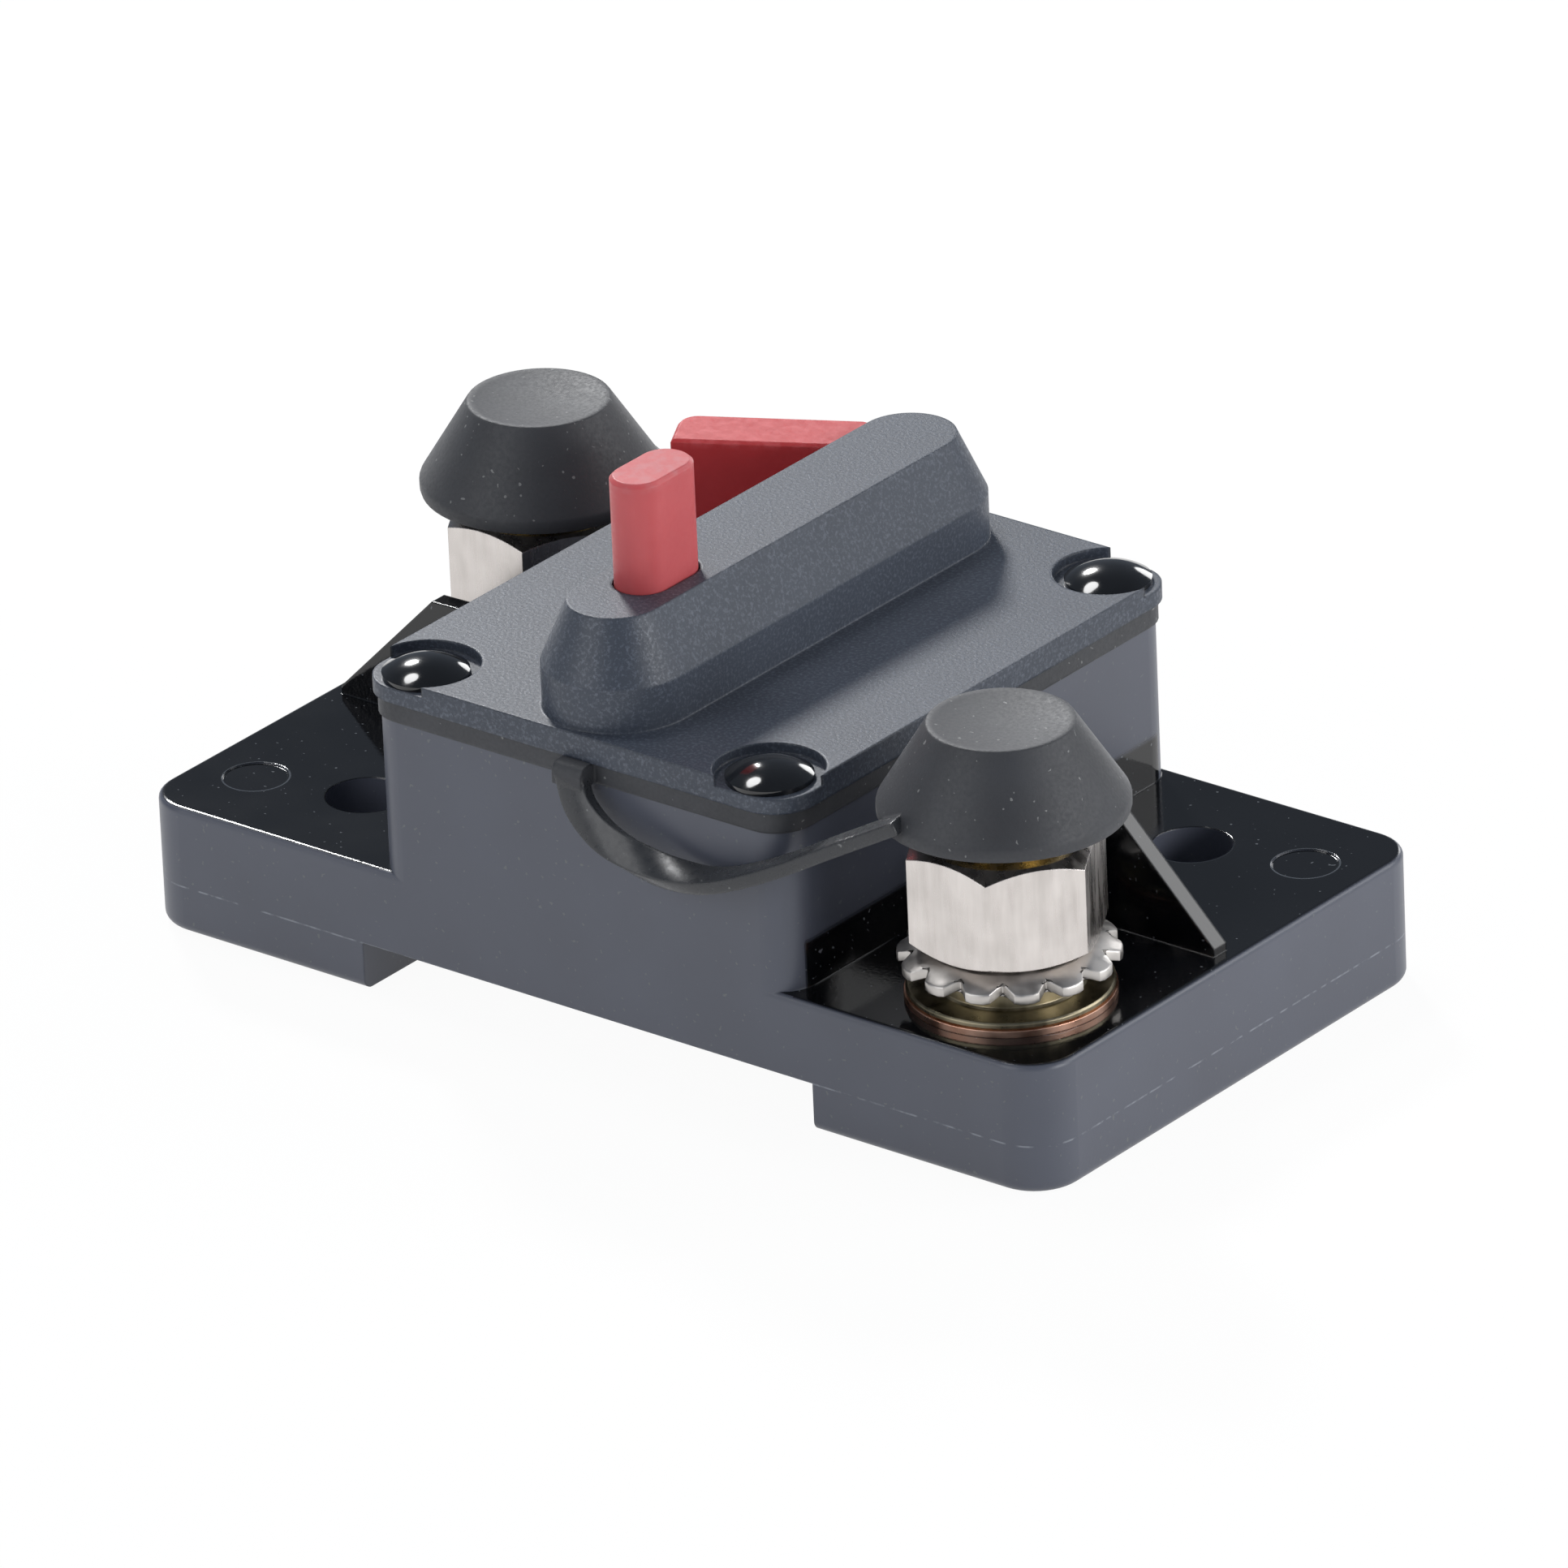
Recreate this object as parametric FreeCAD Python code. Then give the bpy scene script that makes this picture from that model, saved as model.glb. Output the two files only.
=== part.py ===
import FreeCAD, Part
import math
import os

# Surface mounted high current circuit breaker with a push to trip button and a reset lever.
# Millimetres, +Z up. The origin is the middle of the base's underside, +X runs along the base.
# The housing, terminals, caps and straps are alike after a half turn about Z.
# The breaker stands as tripped: the lever is out and the contacts are open.

# Housing moulding
base_length = 92.0
base_width = 50.0
base_corner_r = 4.2
shelf_height = 11.2
shelf_edge_r = 0.5
foot_edge_r = 0.9
foot_length = 23.1
channel_depth = 4.2
floor_wall = 2.0
shelf_length = 24.8
block_height = 25.1
block_corner_r = 3.0
block_wall = 3.5
cavity_corner_r = 1.5
boss_r = 3.3
rib_thickness = 1.6
rib_end_inset = 1.5
rib_toe = 0.7
rib_height = 10.8
rib_root_rise = 0.3
mount_hole_r = 3.3
mount_hole_end_inset = 15.4
mount_hole_side_inset = 10.3
ejector_mark_r = 2.7
ejector_mark_depth = 0.12
ejector_mark_end_inset = 5.75
ejector_mark_side_inset = 8.1

# Lid, gasket and rivets
gasket_thickness = 1.8
gasket_overhang = 0.25
gasket_ring = 4.0
lid_thickness = 2.2
lid_overhang = 0.6
lid_corner_r = 3.6
rivet_end_inset = 3.8
rivet_side_inset = 3.1
rivet_pocket_r = 4.5
rivet_pocket_depth = 0.9
rivet_head_r = 3.55
rivet_rim = 0.4
rivet_dome = 1.1
rivet_shank_r = 1.5
rivet_length = 12.0
pilot_depth = 10.4

# Ridge on the lid
ridge_half_width = 6.3
ridge_wall_height = 3.8
ridge_height = 9.0
ridge_inset = 2.3
ridge_roof = 1.5
ridge_core_half_x = 4.2
ridge_core_length = 4.0
ridge_core_gap = 1.2
ridge_core_top = 6.2

# Trip button with its seal, spring and retainer
button_r = 2.3
button_end_inset = 9.65
button_span = 3.35
button_height = 9.4
button_bevel = 0.3
button_travel = 4.0
button_gap = 0.15
button_flange_r = 3.2
button_flange_thickness = 1.2
button_seal_thickness = 1.0
button_stem_r = 1.4
button_stem_end = 23.0
button_chamber_r = 3.6
retainer_thickness = 1.0
button_spring_r = 2.45
button_spring_wire_r = 0.35
button_spring_turns = 3.0

# Reset lever with its shaft, cam, spring and seal
lever_x = 0.6
lever_end_inset = 6.0
lever_home_angle = 270.0
lever_swing_angle = 61.6
lever_tip_y = -1.0
lever_near = -0.4
lever_width = 5.0
lever_shoulder = 5.0
lever_tip_r = 1.6
lever_edge = 0.25
lever_hub_r = 2.2
lever_height = 7.6
slot_end_gap = 0.6
shaft_r = 1.5
shaft_end = 17.0
cam_hub_r = 2.2
cam_thickness = 2.2
cam_reach = 9.7
cam_finger_width = 2.6
lever_spring_r = 1.95
lever_spring_wire_r = 0.25
lever_spring_turns = 3.0
shaft_seal_r = 2.1
shaft_seal_thickness = 1.2

# Terminals
stud_end_inset = 11.2
stud_side_inset = 10.6
stud_r = 4.76
stud_top = 32.7
stud_chamfer = 0.7
stud_head_flats = 13.0
stud_head_thickness = 3.0
flat_washer_r = 8.45
flat_washer_thickness = 0.6
bush_flange_r = 8.3
bush_flange_thickness = 0.6
bush_hub_r = 5.9
bush_height = 2.9
star_inner_r = 5.0
star_ring_r = 7.0
star_outer_r = 9.0
star_thickness = 0.9
star_tooth_count = 14
star_tooth_width = 2.4
star_twist_angle = 26.0
nut_flats = 14.3
nut_height = 8.9
nut_turn_angle = -3.8
nut_chamfer_r = 6.8
nut_chamfer_angle = 30.0

# Stud caps and straps of the rubber moulding
cap_bottom = 27.0
cap_rim_r = 10.05
cap_rim_height = 1.2
cap_top_r = 5.8
cap_top = 34.8
cap_top_edge = 0.8
cap_rim_edge = 0.5
cap_dish = 0.4
far_cap_drop = 0.5
cap_recess_r = 8.4
cap_recess_height = 1.4
cap_bore_top = 33.3
strap_width = 2.1
strap_thickness = 1.8
strap_root_x = 1.0
strap_root_length = 4.8
strap_root_reach = 1.5
strap_sag = 6.9
strap_lean_angle = 20.0
strap_end_angle = -106.0
strap_end_inset = 0.4
strap_end_height = 1.5
strap_shape_ratios = [(0.0, -0.12), (0.01, 0.25), (0.10, 0.70), (0.25, 0.93), (0.42, 1.03),
                      (0.60, 0.83), (0.80, 0.42), (1.0, 0.0)]

# Current path and contacts
bar_width = 13.0
bar_thickness = 2.0
bar_overlap = 4.0
contact_offset = 2.4
fixed_contact_r = 2.2
fixed_contact_height = 1.2
moving_contact_r = 2.0
moving_contact_height = 1.2
arm_pivot_inset = 10.0
arm_pivot_z = 14.5
arm_half_width = 3.2
arm_thickness = 1.6
arm_tip = 2.2
arm_eye_r = 1.9
arm_pin_r = 0.9
arm_follower_r = 1.1
arm_spring_r = 2.2
arm_spring_wire_r = 0.3
arm_spring_turns = 4.0
bracket_gap = 0.4
bracket_wall = 1.0
bracket_length = 4.2
bracket_ear_top = 16.3
small_rivet_x = 2.1
small_rivet_r = 0.8
small_rivet_head_r = 1.3
small_rivet_head_height = 0.6
bimetal_offset = 3.8
bimetal_half_width = 3.0
bimetal_thickness = 0.8
bimetal_foot = 3.4
bimetal_lip = 2.6
bimetal_lip_gap = 0.6
clamp_thickness = 0.8

# Clearances
close_gap = 0.04
running_gap = 0.05
free_gap = 0.3
rivet_gap = 0.2

# Levels and places that follow from the sizes above
half_length = base_length / 2
half_width = base_width / 2
channel_length = base_length - 2 * foot_length
mount_hole_x = half_length - mount_hole_end_inset
mount_hole_y = half_width - mount_hole_side_inset
ejector_mark_x = half_length - ejector_mark_end_inset
ejector_mark_y = half_width - ejector_mark_side_inset
stud_x = half_length - stud_end_inset
stud_y = stud_side_inset - half_width
contact_y = stud_y + contact_offset
bimetal_y = stud_y - bimetal_offset
arm_pivot_y = half_width - arm_pivot_inset
ridge_arc_y = half_width - ridge_half_width
button_y0 = button_end_inset - half_width
button_y1 = button_y0 + button_span
lever_y = half_width - lever_end_inset
lever_reach = lever_y - lever_tip_y
lever_rest_angle = lever_home_angle - lever_swing_angle
ridge_core_y0 = button_y1 + button_chamber_r + ridge_core_gap
ridge_core_y1 = ridge_core_y0 + ridge_core_length
block_x = half_length - shelf_length
cavity_x = block_x - block_wall
cavity_y = half_width - block_wall
cavity_floor = channel_depth + floor_wall
bar_top = cavity_floor + bar_thickness
gasket_top = block_height + gasket_thickness
lid_top = gasket_top + lid_thickness
ridge_top = lid_top + ridge_height
lid_rivet_x = block_x - rivet_end_inset
lid_rivet_y = half_width - rivet_side_inset
lever_bottom = lid_top + free_gap
lever_top = lever_bottom + lever_height
slot_top = lever_top + free_gap
lever_far = lever_near + lever_width
star_bottom = shelf_height + flat_washer_thickness + bush_height
star_middle = star_bottom + star_thickness / 2
star_lift = math.radians(star_twist_angle)
star_rise = (star_tooth_width * math.sin(star_lift) + star_thickness * math.cos(star_lift)) / 2
nut_bottom = star_middle + star_rise
chamber_top = ridge_top - ridge_roof
flange_top = chamber_top - free_gap - button_seal_thickness
flange_bottom = flange_top - button_flange_thickness
cam_bottom = shaft_end + free_gap
arm_bottom = arm_pivot_z - arm_thickness / 2
arm_top = arm_pivot_z + arm_thickness / 2
clamp_top = bar_top + bimetal_thickness + clamp_thickness
bimetal_rivet_x = bimetal_half_width / 2
bimetal_rivet_y = bimetal_y + bimetal_thickness + (bimetal_foot - bimetal_thickness) / 2


def vec(x, y, z=0.0):
    return FreeCAD.Vector(x, y, z)


def box(x0, x1, y0, y1, z0, z1):
    return Part.makeBox(x1 - x0, y1 - y0, z1 - z0, vec(x0, y0, z0))


def rod(x, y, r, z0, z1):
    return Part.makeCylinder(r, z1 - z0, vec(x, y, z0))


def rod_along_x(y, z, r, x0, x1):
    return Part.makeCylinder(r, x1 - x0, vec(x0, y, z), vec(1, 0, 0))


def ring(x, y, inner_r, outer_r, z0, z1):
    return rod(x, y, outer_r, z0, z1).cut(rod(x, y, inner_r, z0, z1))


def polygon(points):
    return Part.Face(Part.makePolygon(points + points[:1]))


def rounded_block(half_x, half_y, corner_r, z0, z1):
    block = box(-half_x, half_x, -half_y, half_y, z0, z1)
    upright = [e for e in block.Edges if e.BoundBox.ZLength > (z1 - z0) / 2]
    return block.makeFillet(corner_r, upright)


def stadium_wire(y0, y1, r, z):
    right = Part.LineSegment(vec(r, y0, z), vec(r, y1, z))
    far = Part.Arc(vec(r, y1, z), vec(0, y1 + r, z), vec(-r, y1, z))
    left = Part.LineSegment(vec(-r, y1, z), vec(-r, y0, z))
    near = Part.Arc(vec(-r, y0, z), vec(0, y0 - r, z), vec(r, y0, z))
    return Part.Wire([right.toShape(), far.toShape(), left.toShape(), near.toShape()])


def stadium(y0, y1, r, z0, z1):
    return Part.Face(stadium_wire(y0, y1, r, z0)).extrude(vec(0, 0, z1 - z0))


def turned_profile(points, x, y):
    profile = polygon([vec(r, 0, z) for r, z in points])
    solid = profile.revolve(vec(0, 0, 0), vec(0, 0, 1), 360)
    solid.translate(vec(x, y, 0))
    return solid


# Arc of a ball that is centred on the axis, from its edge to its middle.
def arc_to_axis(r, z, rise):
    ball_r = (r ** 2 + rise ** 2) / (2 * rise)
    half_way = math.asin(r / abs(ball_r)) / 2
    centre_z = z + rise - ball_r
    middle = vec(abs(ball_r) * math.sin(half_way), 0, centre_z + ball_r * math.cos(half_way))
    return Part.Arc(vec(r, 0, z), middle, vec(0, 0, z + rise))


def hexagon(x, y, flats, turn, z0, z1):
    corner_r = flats / math.sqrt(3)
    angles = [math.radians(turn + 60 * i) for i in range(6)]
    points = [vec(x + corner_r * math.cos(a), y + corner_r * math.sin(a), z0) for a in angles]
    return polygon(points).extrude(vec(0, 0, z1 - z0))


def edges_at(shape, z):
    return [e for e in shape.Edges if max(abs(e.BoundBox.ZMin - z), abs(e.BoundBox.ZMax - z)) < 0.01]


def half_turn(shape):
    other = shape.copy()
    other.rotate(vec(0, 0, 0), vec(0, 0, 1), 180)
    return other


def pair(shape):
    return Part.makeCompound([shape, half_turn(shape)])


def at_lid_rivets(shape):
    places = [(sx * lid_rivet_x, sy * lid_rivet_y) for sx in (-1, 1) for sy in (-1, 1)]
    copies = []
    for x, y in places:
        copy = shape.copy()
        copy.translate(vec(x, y, 0))
        copies.append(copy)
    return Part.makeCompound(copies)


def coil(x, y, r, wire_r, turns, z0, z1):
    rise = z1 - z0 - 2 * wire_r
    helix = Part.makeHelix(rise / turns, rise, r)
    section = Part.Wire(Part.Circle(vec(r, 0, 0), vec(0, 1, 0), wire_r).toShape())
    spring = Part.Wire(helix).makePipeShell([section], True, True)
    spring.translate(vec(x, y, z0 + wire_r))
    return spring


# Bar that is moulded into the housing: its inner end carries a contact or bracket,
# its outer end is round about the stud.
def terminal_bar():
    bar = box(-bar_overlap, stud_x, stud_y - bar_width / 2, stud_y + bar_width / 2, cavity_floor, bar_top)
    bar = bar.fuse(rod(stud_x, stud_y, bar_width / 2, cavity_floor, bar_top)).removeSplitter()
    return bar.cut(rod(stud_x, stud_y, stud_r + close_gap, cavity_floor, bar_top))


def stud_head():
    return hexagon(stud_x, stud_y, stud_head_flats, 0, cavity_floor - stud_head_thickness, cavity_floor)


def terminal_stud():
    stud = rod(stud_x, stud_y, stud_r, cavity_floor, stud_top)
    stud = stud.makeChamfer(stud_chamfer, edges_at(stud, stud_top))
    return stud.fuse(stud_head())


def rib():
    slope_top = shelf_height + rib_height
    toe_top = shelf_height + rib_toe
    rib_end_x = half_length - rib_end_inset
    slope_x = rib_end_x - (slope_top - toe_top)
    root_x = block_x - block_wall / 2
    sunk = shelf_height - rib_toe
    outline = polygon([
        vec(root_x, -rib_thickness / 2, sunk),
        vec(rib_end_x, -rib_thickness / 2, sunk),
        vec(rib_end_x, -rib_thickness / 2, toe_top),
        vec(slope_x, -rib_thickness / 2, slope_top),
        vec(root_x, -rib_thickness / 2, slope_top + rib_root_rise),
    ])
    return outline.extrude(vec(0, rib_thickness, 0))


def cavity():
    space = rounded_block(cavity_x, cavity_y, cavity_corner_r, cavity_floor, block_height + 1)
    return space.cut(at_lid_rivets(rod(0, 0, boss_r, cavity_floor, block_height + 1)))


def housing():
    body = rounded_block(half_length, half_width, base_corner_r, 0, shelf_height)
    body = body.makeFillet(shelf_edge_r, edges_at(body, shelf_height))
    body = body.makeFillet(foot_edge_r, edges_at(body, 0))
    body = body.fuse(rounded_block(block_x, half_width, block_corner_r, foot_edge_r, block_height))
    body = body.fuse([rib(), half_turn(rib())]).removeSplitter()
    channel = box(-channel_length / 2, channel_length / 2, -base_width, base_width, -1, channel_depth)
    mount_hole = rod(mount_hole_x, mount_hole_y, mount_hole_r, -1, shelf_height + 1)
    mark = rod(ejector_mark_x, ejector_mark_y, ejector_mark_r,
               shelf_height - ejector_mark_depth, shelf_height + 1)
    stud_hole = rod(stud_x, stud_y, stud_r + close_gap, cavity_floor, shelf_height + 1)
    bar_space = terminal_bar().fuse([stud_hole, stud_head()])
    pilot = rod(0, 0, rivet_shank_r + close_gap, block_height - pilot_depth, block_height + 1)
    tools = [channel, cavity(), at_lid_rivets(pilot)]
    for tool in (mount_hole, mark, bar_space):
        tools += [tool, half_turn(tool)]
    for tool in tools:
        body = body.cut(tool)
    return body


def gasket_ring_solid():
    outer_x = block_x + gasket_overhang
    outer_y = half_width + gasket_overhang
    outer = rounded_block(outer_x, outer_y, block_corner_r + gasket_overhang, block_height, gasket_top)
    inner = rounded_block(outer_x - gasket_ring, outer_y - gasket_ring, cavity_corner_r,
                          block_height, gasket_top)
    inner = inner.cut(at_lid_rivets(rod(0, 0, boss_r, block_height, gasket_top)))
    hole = rod(0, 0, rivet_shank_r + rivet_gap, block_height, gasket_top)
    return outer.cut(inner).cut(at_lid_rivets(hole))


def stud_cap():
    rim_top = cap_bottom + cap_rim_height
    bore_r = stud_r + close_gap
    edge = cap_top_r - cap_top_edge
    corners = [
        vec(bore_r, 0, cap_bottom + cap_recess_height),
        vec(cap_recess_r, 0, cap_bottom + cap_recess_height),
        vec(cap_recess_r, 0, cap_bottom),
        vec(cap_rim_r - cap_rim_edge, 0, cap_bottom),
        vec(cap_rim_r, 0, cap_bottom + cap_rim_edge),
        vec(cap_rim_r, 0, rim_top),
        vec(cap_top_r, 0, cap_top - cap_top_edge),
        vec(edge, 0, cap_top),
    ]
    sides = [Part.LineSegment(a, b).toShape() for a, b in zip(corners, corners[1:])]
    dish = arc_to_axis(edge, cap_top, -cap_dish)
    inside = [
        vec(0, 0, cap_top - cap_dish),
        vec(0, 0, cap_bore_top),
        vec(bore_r, 0, cap_bore_top),
        corners[0],
    ]
    sides += [dish.toShape()] + [Part.LineSegment(a, b).toShape() for a, b in zip(inside, inside[1:])]
    cap = Part.Face(Part.Wire(sides)).revolve(vec(0, 0, 0), vec(0, 0, 1), 360)
    cap.translate(vec(stud_x, stud_y, 0))
    return cap


# Parallel outline at a distance from the strap's middle line. Its corners are where
# neighbouring runs meet, and each is rounded by an arc that touches both runs.
def parallel_corners(route, distance):
    normals = []
    for start, end in zip(route, route[1:]):
        along = (end - start).normalize()
        normals.append(vec(-along.y, along.x))
    corners = [route[0] + normals[0] * distance]
    for point, before, after in zip(route[1:], normals, normals[1:]):
        middle = (before + after).normalize()
        corners.append(point + middle * (distance / middle.dot(before)))
    corners.append(route[-1] + normals[-1] * distance)
    return corners


def rounded_edges(corners, radii):
    edges = []
    last = corners[0]
    for i, radius in enumerate(radii):
        corner = corners[i + 1]
        back = (corners[i] - corner).normalize()
        onward = (corners[i + 2] - corner).normalize()
        half = back.getAngle(onward) / 2
        reach = radius / math.tan(half)
        middle = (back + onward).normalize()
        top = corner + middle * (radius / math.sin(half) - radius)
        start = corner + back * reach
        end = corner + onward * reach
        edges.append(Part.LineSegment(last, start).toShape())
        edges.append(Part.Arc(start, top, end).toShape())
        last = end
    edges.append(Part.LineSegment(last, corners[-1]).toShape())
    return edges


def strap():
    angle = math.radians(strap_end_angle)
    reach = cap_rim_r - strap_end_inset
    root_y = -(half_width + gasket_overhang + strap_width / 2)
    root = vec(strap_root_x, root_y, block_height + strap_thickness / 4)
    end = vec(stud_x + reach * math.cos(angle), stud_y + reach * math.sin(angle),
              cap_bottom + strap_end_height)
    along = (end - root).normalize()
    span = root.distanceToPoint(end)
    normal = along.cross(vec(0, 0, -1)).normalize()
    lean = FreeCAD.Rotation(along, -strap_lean_angle)
    normal = lean.multVec(normal)
    down = normal.cross(along)
    route = [vec(span * a, strap_sag * d) for a, d in strap_shape_ratios]
    runs = [a.distanceToPoint(b) for a, b in zip(route, route[1:])]
    middle_radii = []
    turns = []
    for i in range(1, len(route) - 1):
        before = route[i] - route[i - 1]
        after = route[i + 1] - route[i]
        turn = before.getAngle(after)
        middle_radii.append(0.45 * min(runs[i - 1], runs[i]) / math.tan(turn / 2))
        turns.append(1 if before.cross(after).z > 0 else -1)
    half = strap_thickness / 2
    upper_radii = [r - t * half for r, t in zip(middle_radii, turns)]
    lower_radii = [r + t * half for r, t in zip(middle_radii, turns)]
    upper = rounded_edges(parallel_corners(route, half), upper_radii)
    lower = rounded_edges(parallel_corners(route, -half), lower_radii)
    starts = Part.LineSegment(upper[0].Vertexes[0].Point, lower[0].Vertexes[0].Point).toShape()
    ends = Part.LineSegment(upper[-1].Vertexes[-1].Point, lower[-1].Vertexes[-1].Point).toShape()
    outline = Part.Wire(Part.__sortEdges__(upper + lower + [starts, ends]))
    band = Part.Face(outline).extrude(vec(0, 0, strap_width))
    band.translate(vec(0, 0, -strap_width / 2))
    hung = FreeCAD.Placement(root, FreeCAD.Rotation(along, down, normal, "XYZ"))
    band.Placement = hung.multiply(band.Placement)
    return band


def gasket_with_stud_caps():
    outer_y = half_width + gasket_overhang
    tab = box(strap_root_x - strap_root_length / 2, strap_root_x + strap_root_length / 2,
              -outer_y - strap_root_reach, -outer_y + gasket_ring / 2, block_height, gasket_top)
    reaching = strap().cut(rod(stud_x, stud_y, cap_recess_r, 0, cap_top))
    far_cap = half_turn(stud_cap())
    far_cap.translate(vec(0, 0, -far_cap_drop))
    pieces = [tab, half_turn(tab), reaching, half_turn(reaching), stud_cap(), far_cap]
    return gasket_ring_solid().fuse(pieces).removeSplitter()


def lid_ridge():
    wall_top = lid_top + ridge_wall_height
    wall = stadium(-ridge_arc_y, ridge_arc_y, ridge_half_width, lid_top, wall_top)
    low = stadium_wire(-ridge_arc_y, ridge_arc_y, ridge_half_width, wall_top)
    high = stadium_wire(-ridge_arc_y, ridge_arc_y, ridge_half_width - ridge_inset, ridge_top)
    return wall.fuse(Part.makeLoft([low, high], True, True))


# Space that the lever swings in, from its place across the ridge to its place along it.
def lever_slot():
    slot = box(-ridge_half_width - 1, lever_x - lever_near + free_gap,
               lever_y - lever_reach - slot_end_gap, lever_y + lever_hub_r + free_gap, lid_top, slot_top)
    return slot.fuse(rod(lever_x, lever_y, lever_hub_r + free_gap, lid_top, slot_top))


def lid():
    plate = rounded_block(block_x + lid_overhang, half_width + lid_overhang, lid_corner_r,
                          gasket_top, lid_top)
    pocket = rod(0, 0, rivet_pocket_r, lid_top - rivet_pocket_depth, lid_top + 1)
    hole = rod(0, 0, rivet_shank_r + rivet_gap, gasket_top, lid_top)
    plate = plate.cut(at_lid_rivets(pocket.fuse(hole)))
    cover = plate.fuse(lid_ridge().cut(lever_slot())).removeSplitter()
    tools = [
        rod(lever_x, lever_y, shaft_r + running_gap, gasket_top - 1, slot_top),
        stadium(button_y0, button_y1, button_r + button_gap, gasket_top, ridge_top + 1),
        stadium(button_y0, button_y1, button_chamber_r, gasket_top - 1, chamber_top),
        box(-ridge_core_half_x, ridge_core_half_x, ridge_core_y0, ridge_core_y1,
            gasket_top - 1, lid_top + ridge_core_top),
    ]
    for tool in tools:
        cover = cover.cut(tool)
    return cover


def lid_rivet():
    seat = lid_top - rivet_pocket_depth
    rim = seat + rivet_rim
    side = Part.LineSegment(vec(rivet_head_r, 0, seat), vec(rivet_head_r, 0, rim))
    dome = arc_to_axis(rivet_head_r, rim, rivet_dome)
    axis = Part.LineSegment(vec(0, 0, rim + rivet_dome), vec(0, 0, seat))
    under = Part.LineSegment(vec(0, 0, seat), vec(rivet_head_r, 0, seat))
    profile = Part.Face(Part.Wire([e.toShape() for e in (side, dome, axis, under)]))
    head = profile.revolve(vec(0, 0, 0), vec(0, 0, 1), 360)
    return head.fuse(rod(0, 0, rivet_shank_r, seat - rivet_length, seat))


def trip_button():
    middle_y = (button_y0 + button_y1) / 2
    top = ridge_top + button_height
    key = stadium(button_y0, button_y1, button_r, flange_top, top)
    key = key.makeChamfer(button_bevel, edges_at(key, top))
    flange = stadium(button_y0, button_y1, button_flange_r, flange_bottom, flange_top)
    stem = rod(0, middle_y, button_stem_r, button_stem_end, flange_bottom)
    return key.fuse([flange, stem])


def button_seal():
    seal = stadium(button_y0, button_y1, button_flange_r - free_gap / 2,
                   flange_top, flange_top + button_seal_thickness)
    return seal.cut(stadium(button_y0, button_y1, button_r + close_gap, flange_top, chamber_top))


def button_retainer():
    middle_y = (button_y0 + button_y1) / 2
    plate = stadium(button_y0, button_y1, button_chamber_r - close_gap,
                    gasket_top, gasket_top + retainer_thickness)
    return plate.cut(rod(0, middle_y, button_stem_r + free_gap, gasket_top, lid_top))


def button_spring():
    middle_y = (button_y0 + button_y1) / 2
    seat = gasket_top + retainer_thickness
    return coil(0, middle_y, button_spring_r, button_spring_wire_r, button_spring_turns,
                seat, flange_bottom)


# Drawn along +X from its pivot with its far side towards -Y, then turned to where it
# stands when tripped.
def reset_lever():
    outline = polygon([
        vec(0, -lever_near, lever_bottom),
        vec(lever_reach, -lever_near, lever_bottom),
        vec(lever_reach, -lever_far, lever_bottom),
        vec(lever_shoulder, -lever_far, lever_bottom),
        vec(0, -lever_hub_r, lever_bottom),
    ])
    blade = outline.extrude(vec(0, 0, lever_height))
    far_tip = [e for e in blade.Edges if e.BoundBox.ZLength > lever_height / 2
               and e.BoundBox.XMin > lever_reach - close_gap and e.BoundBox.YMax < close_gap - lever_far]
    blade = blade.makeFillet(lever_tip_r, far_tip)
    lever = blade.fuse(rod(0, 0, lever_hub_r, lever_bottom, lever_top)).removeSplitter()
    lever = lever.makeChamfer(lever_edge, edges_at(lever, lever_top))
    lever = lever.cut(rod(0, 0, shaft_r + close_gap, lever_bottom, lever_top))
    return at_lever(lever)


def at_lever(shape):
    placed = shape.copy()
    placed.rotate(vec(0, 0, 0), vec(0, 0, 1), lever_rest_angle)
    placed.translate(vec(lever_x, lever_y, 0))
    return placed


def reset_cam():
    finger = box(0, cam_reach - cam_finger_width / 2, -cam_finger_width / 2, cam_finger_width / 2,
                 cam_bottom, cam_bottom + cam_thickness)
    nose = rod(cam_reach - cam_finger_width / 2, 0, cam_finger_width / 2,
               cam_bottom, cam_bottom + cam_thickness)
    cam = rod(0, 0, cam_hub_r, cam_bottom, cam_bottom + cam_thickness).fuse([finger, nose]).removeSplitter()
    cam = cam.cut(rod(0, 0, shaft_r + close_gap, cam_bottom, cam_bottom + cam_thickness))
    return at_lever(cam)


def lever_spring():
    low = cam_bottom + cam_thickness
    high = gasket_top - shaft_seal_thickness - free_gap
    return coil(lever_x, lever_y, lever_spring_r, lever_spring_wire_r, lever_spring_turns, low, high)


def shaft_seal():
    low = gasket_top - shaft_seal_thickness
    return ring(lever_x, lever_y, shaft_r + running_gap, shaft_seal_r, low, gasket_top)


# The teeth are twisted, so the washer stands on their lower edges and carries the nut on
# their upper ones.
def star_washer():
    low = -star_thickness / 2
    high = star_thickness / 2
    tip_r = star_tooth_width / 2
    tip_x = star_outer_r - tip_r
    tooth = box(star_ring_r - star_thickness, tip_x, -tip_r, tip_r, low, high)
    tooth = tooth.fuse(rod(tip_x, 0, tip_r, low, high)).removeSplitter()
    tooth.rotate(vec(0, 0, 0), vec(1, 0, 0), star_twist_angle)
    teeth = []
    for i in range(star_tooth_count):
        copy = tooth.copy()
        copy.rotate(vec(0, 0, 0), vec(0, 0, 1), i * 360 / star_tooth_count)
        teeth.append(copy)
    washer = ring(0, 0, star_inner_r, star_ring_r, low, high).fuse(teeth)
    washer.translate(vec(stud_x, stud_y, star_middle))
    return washer


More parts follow.
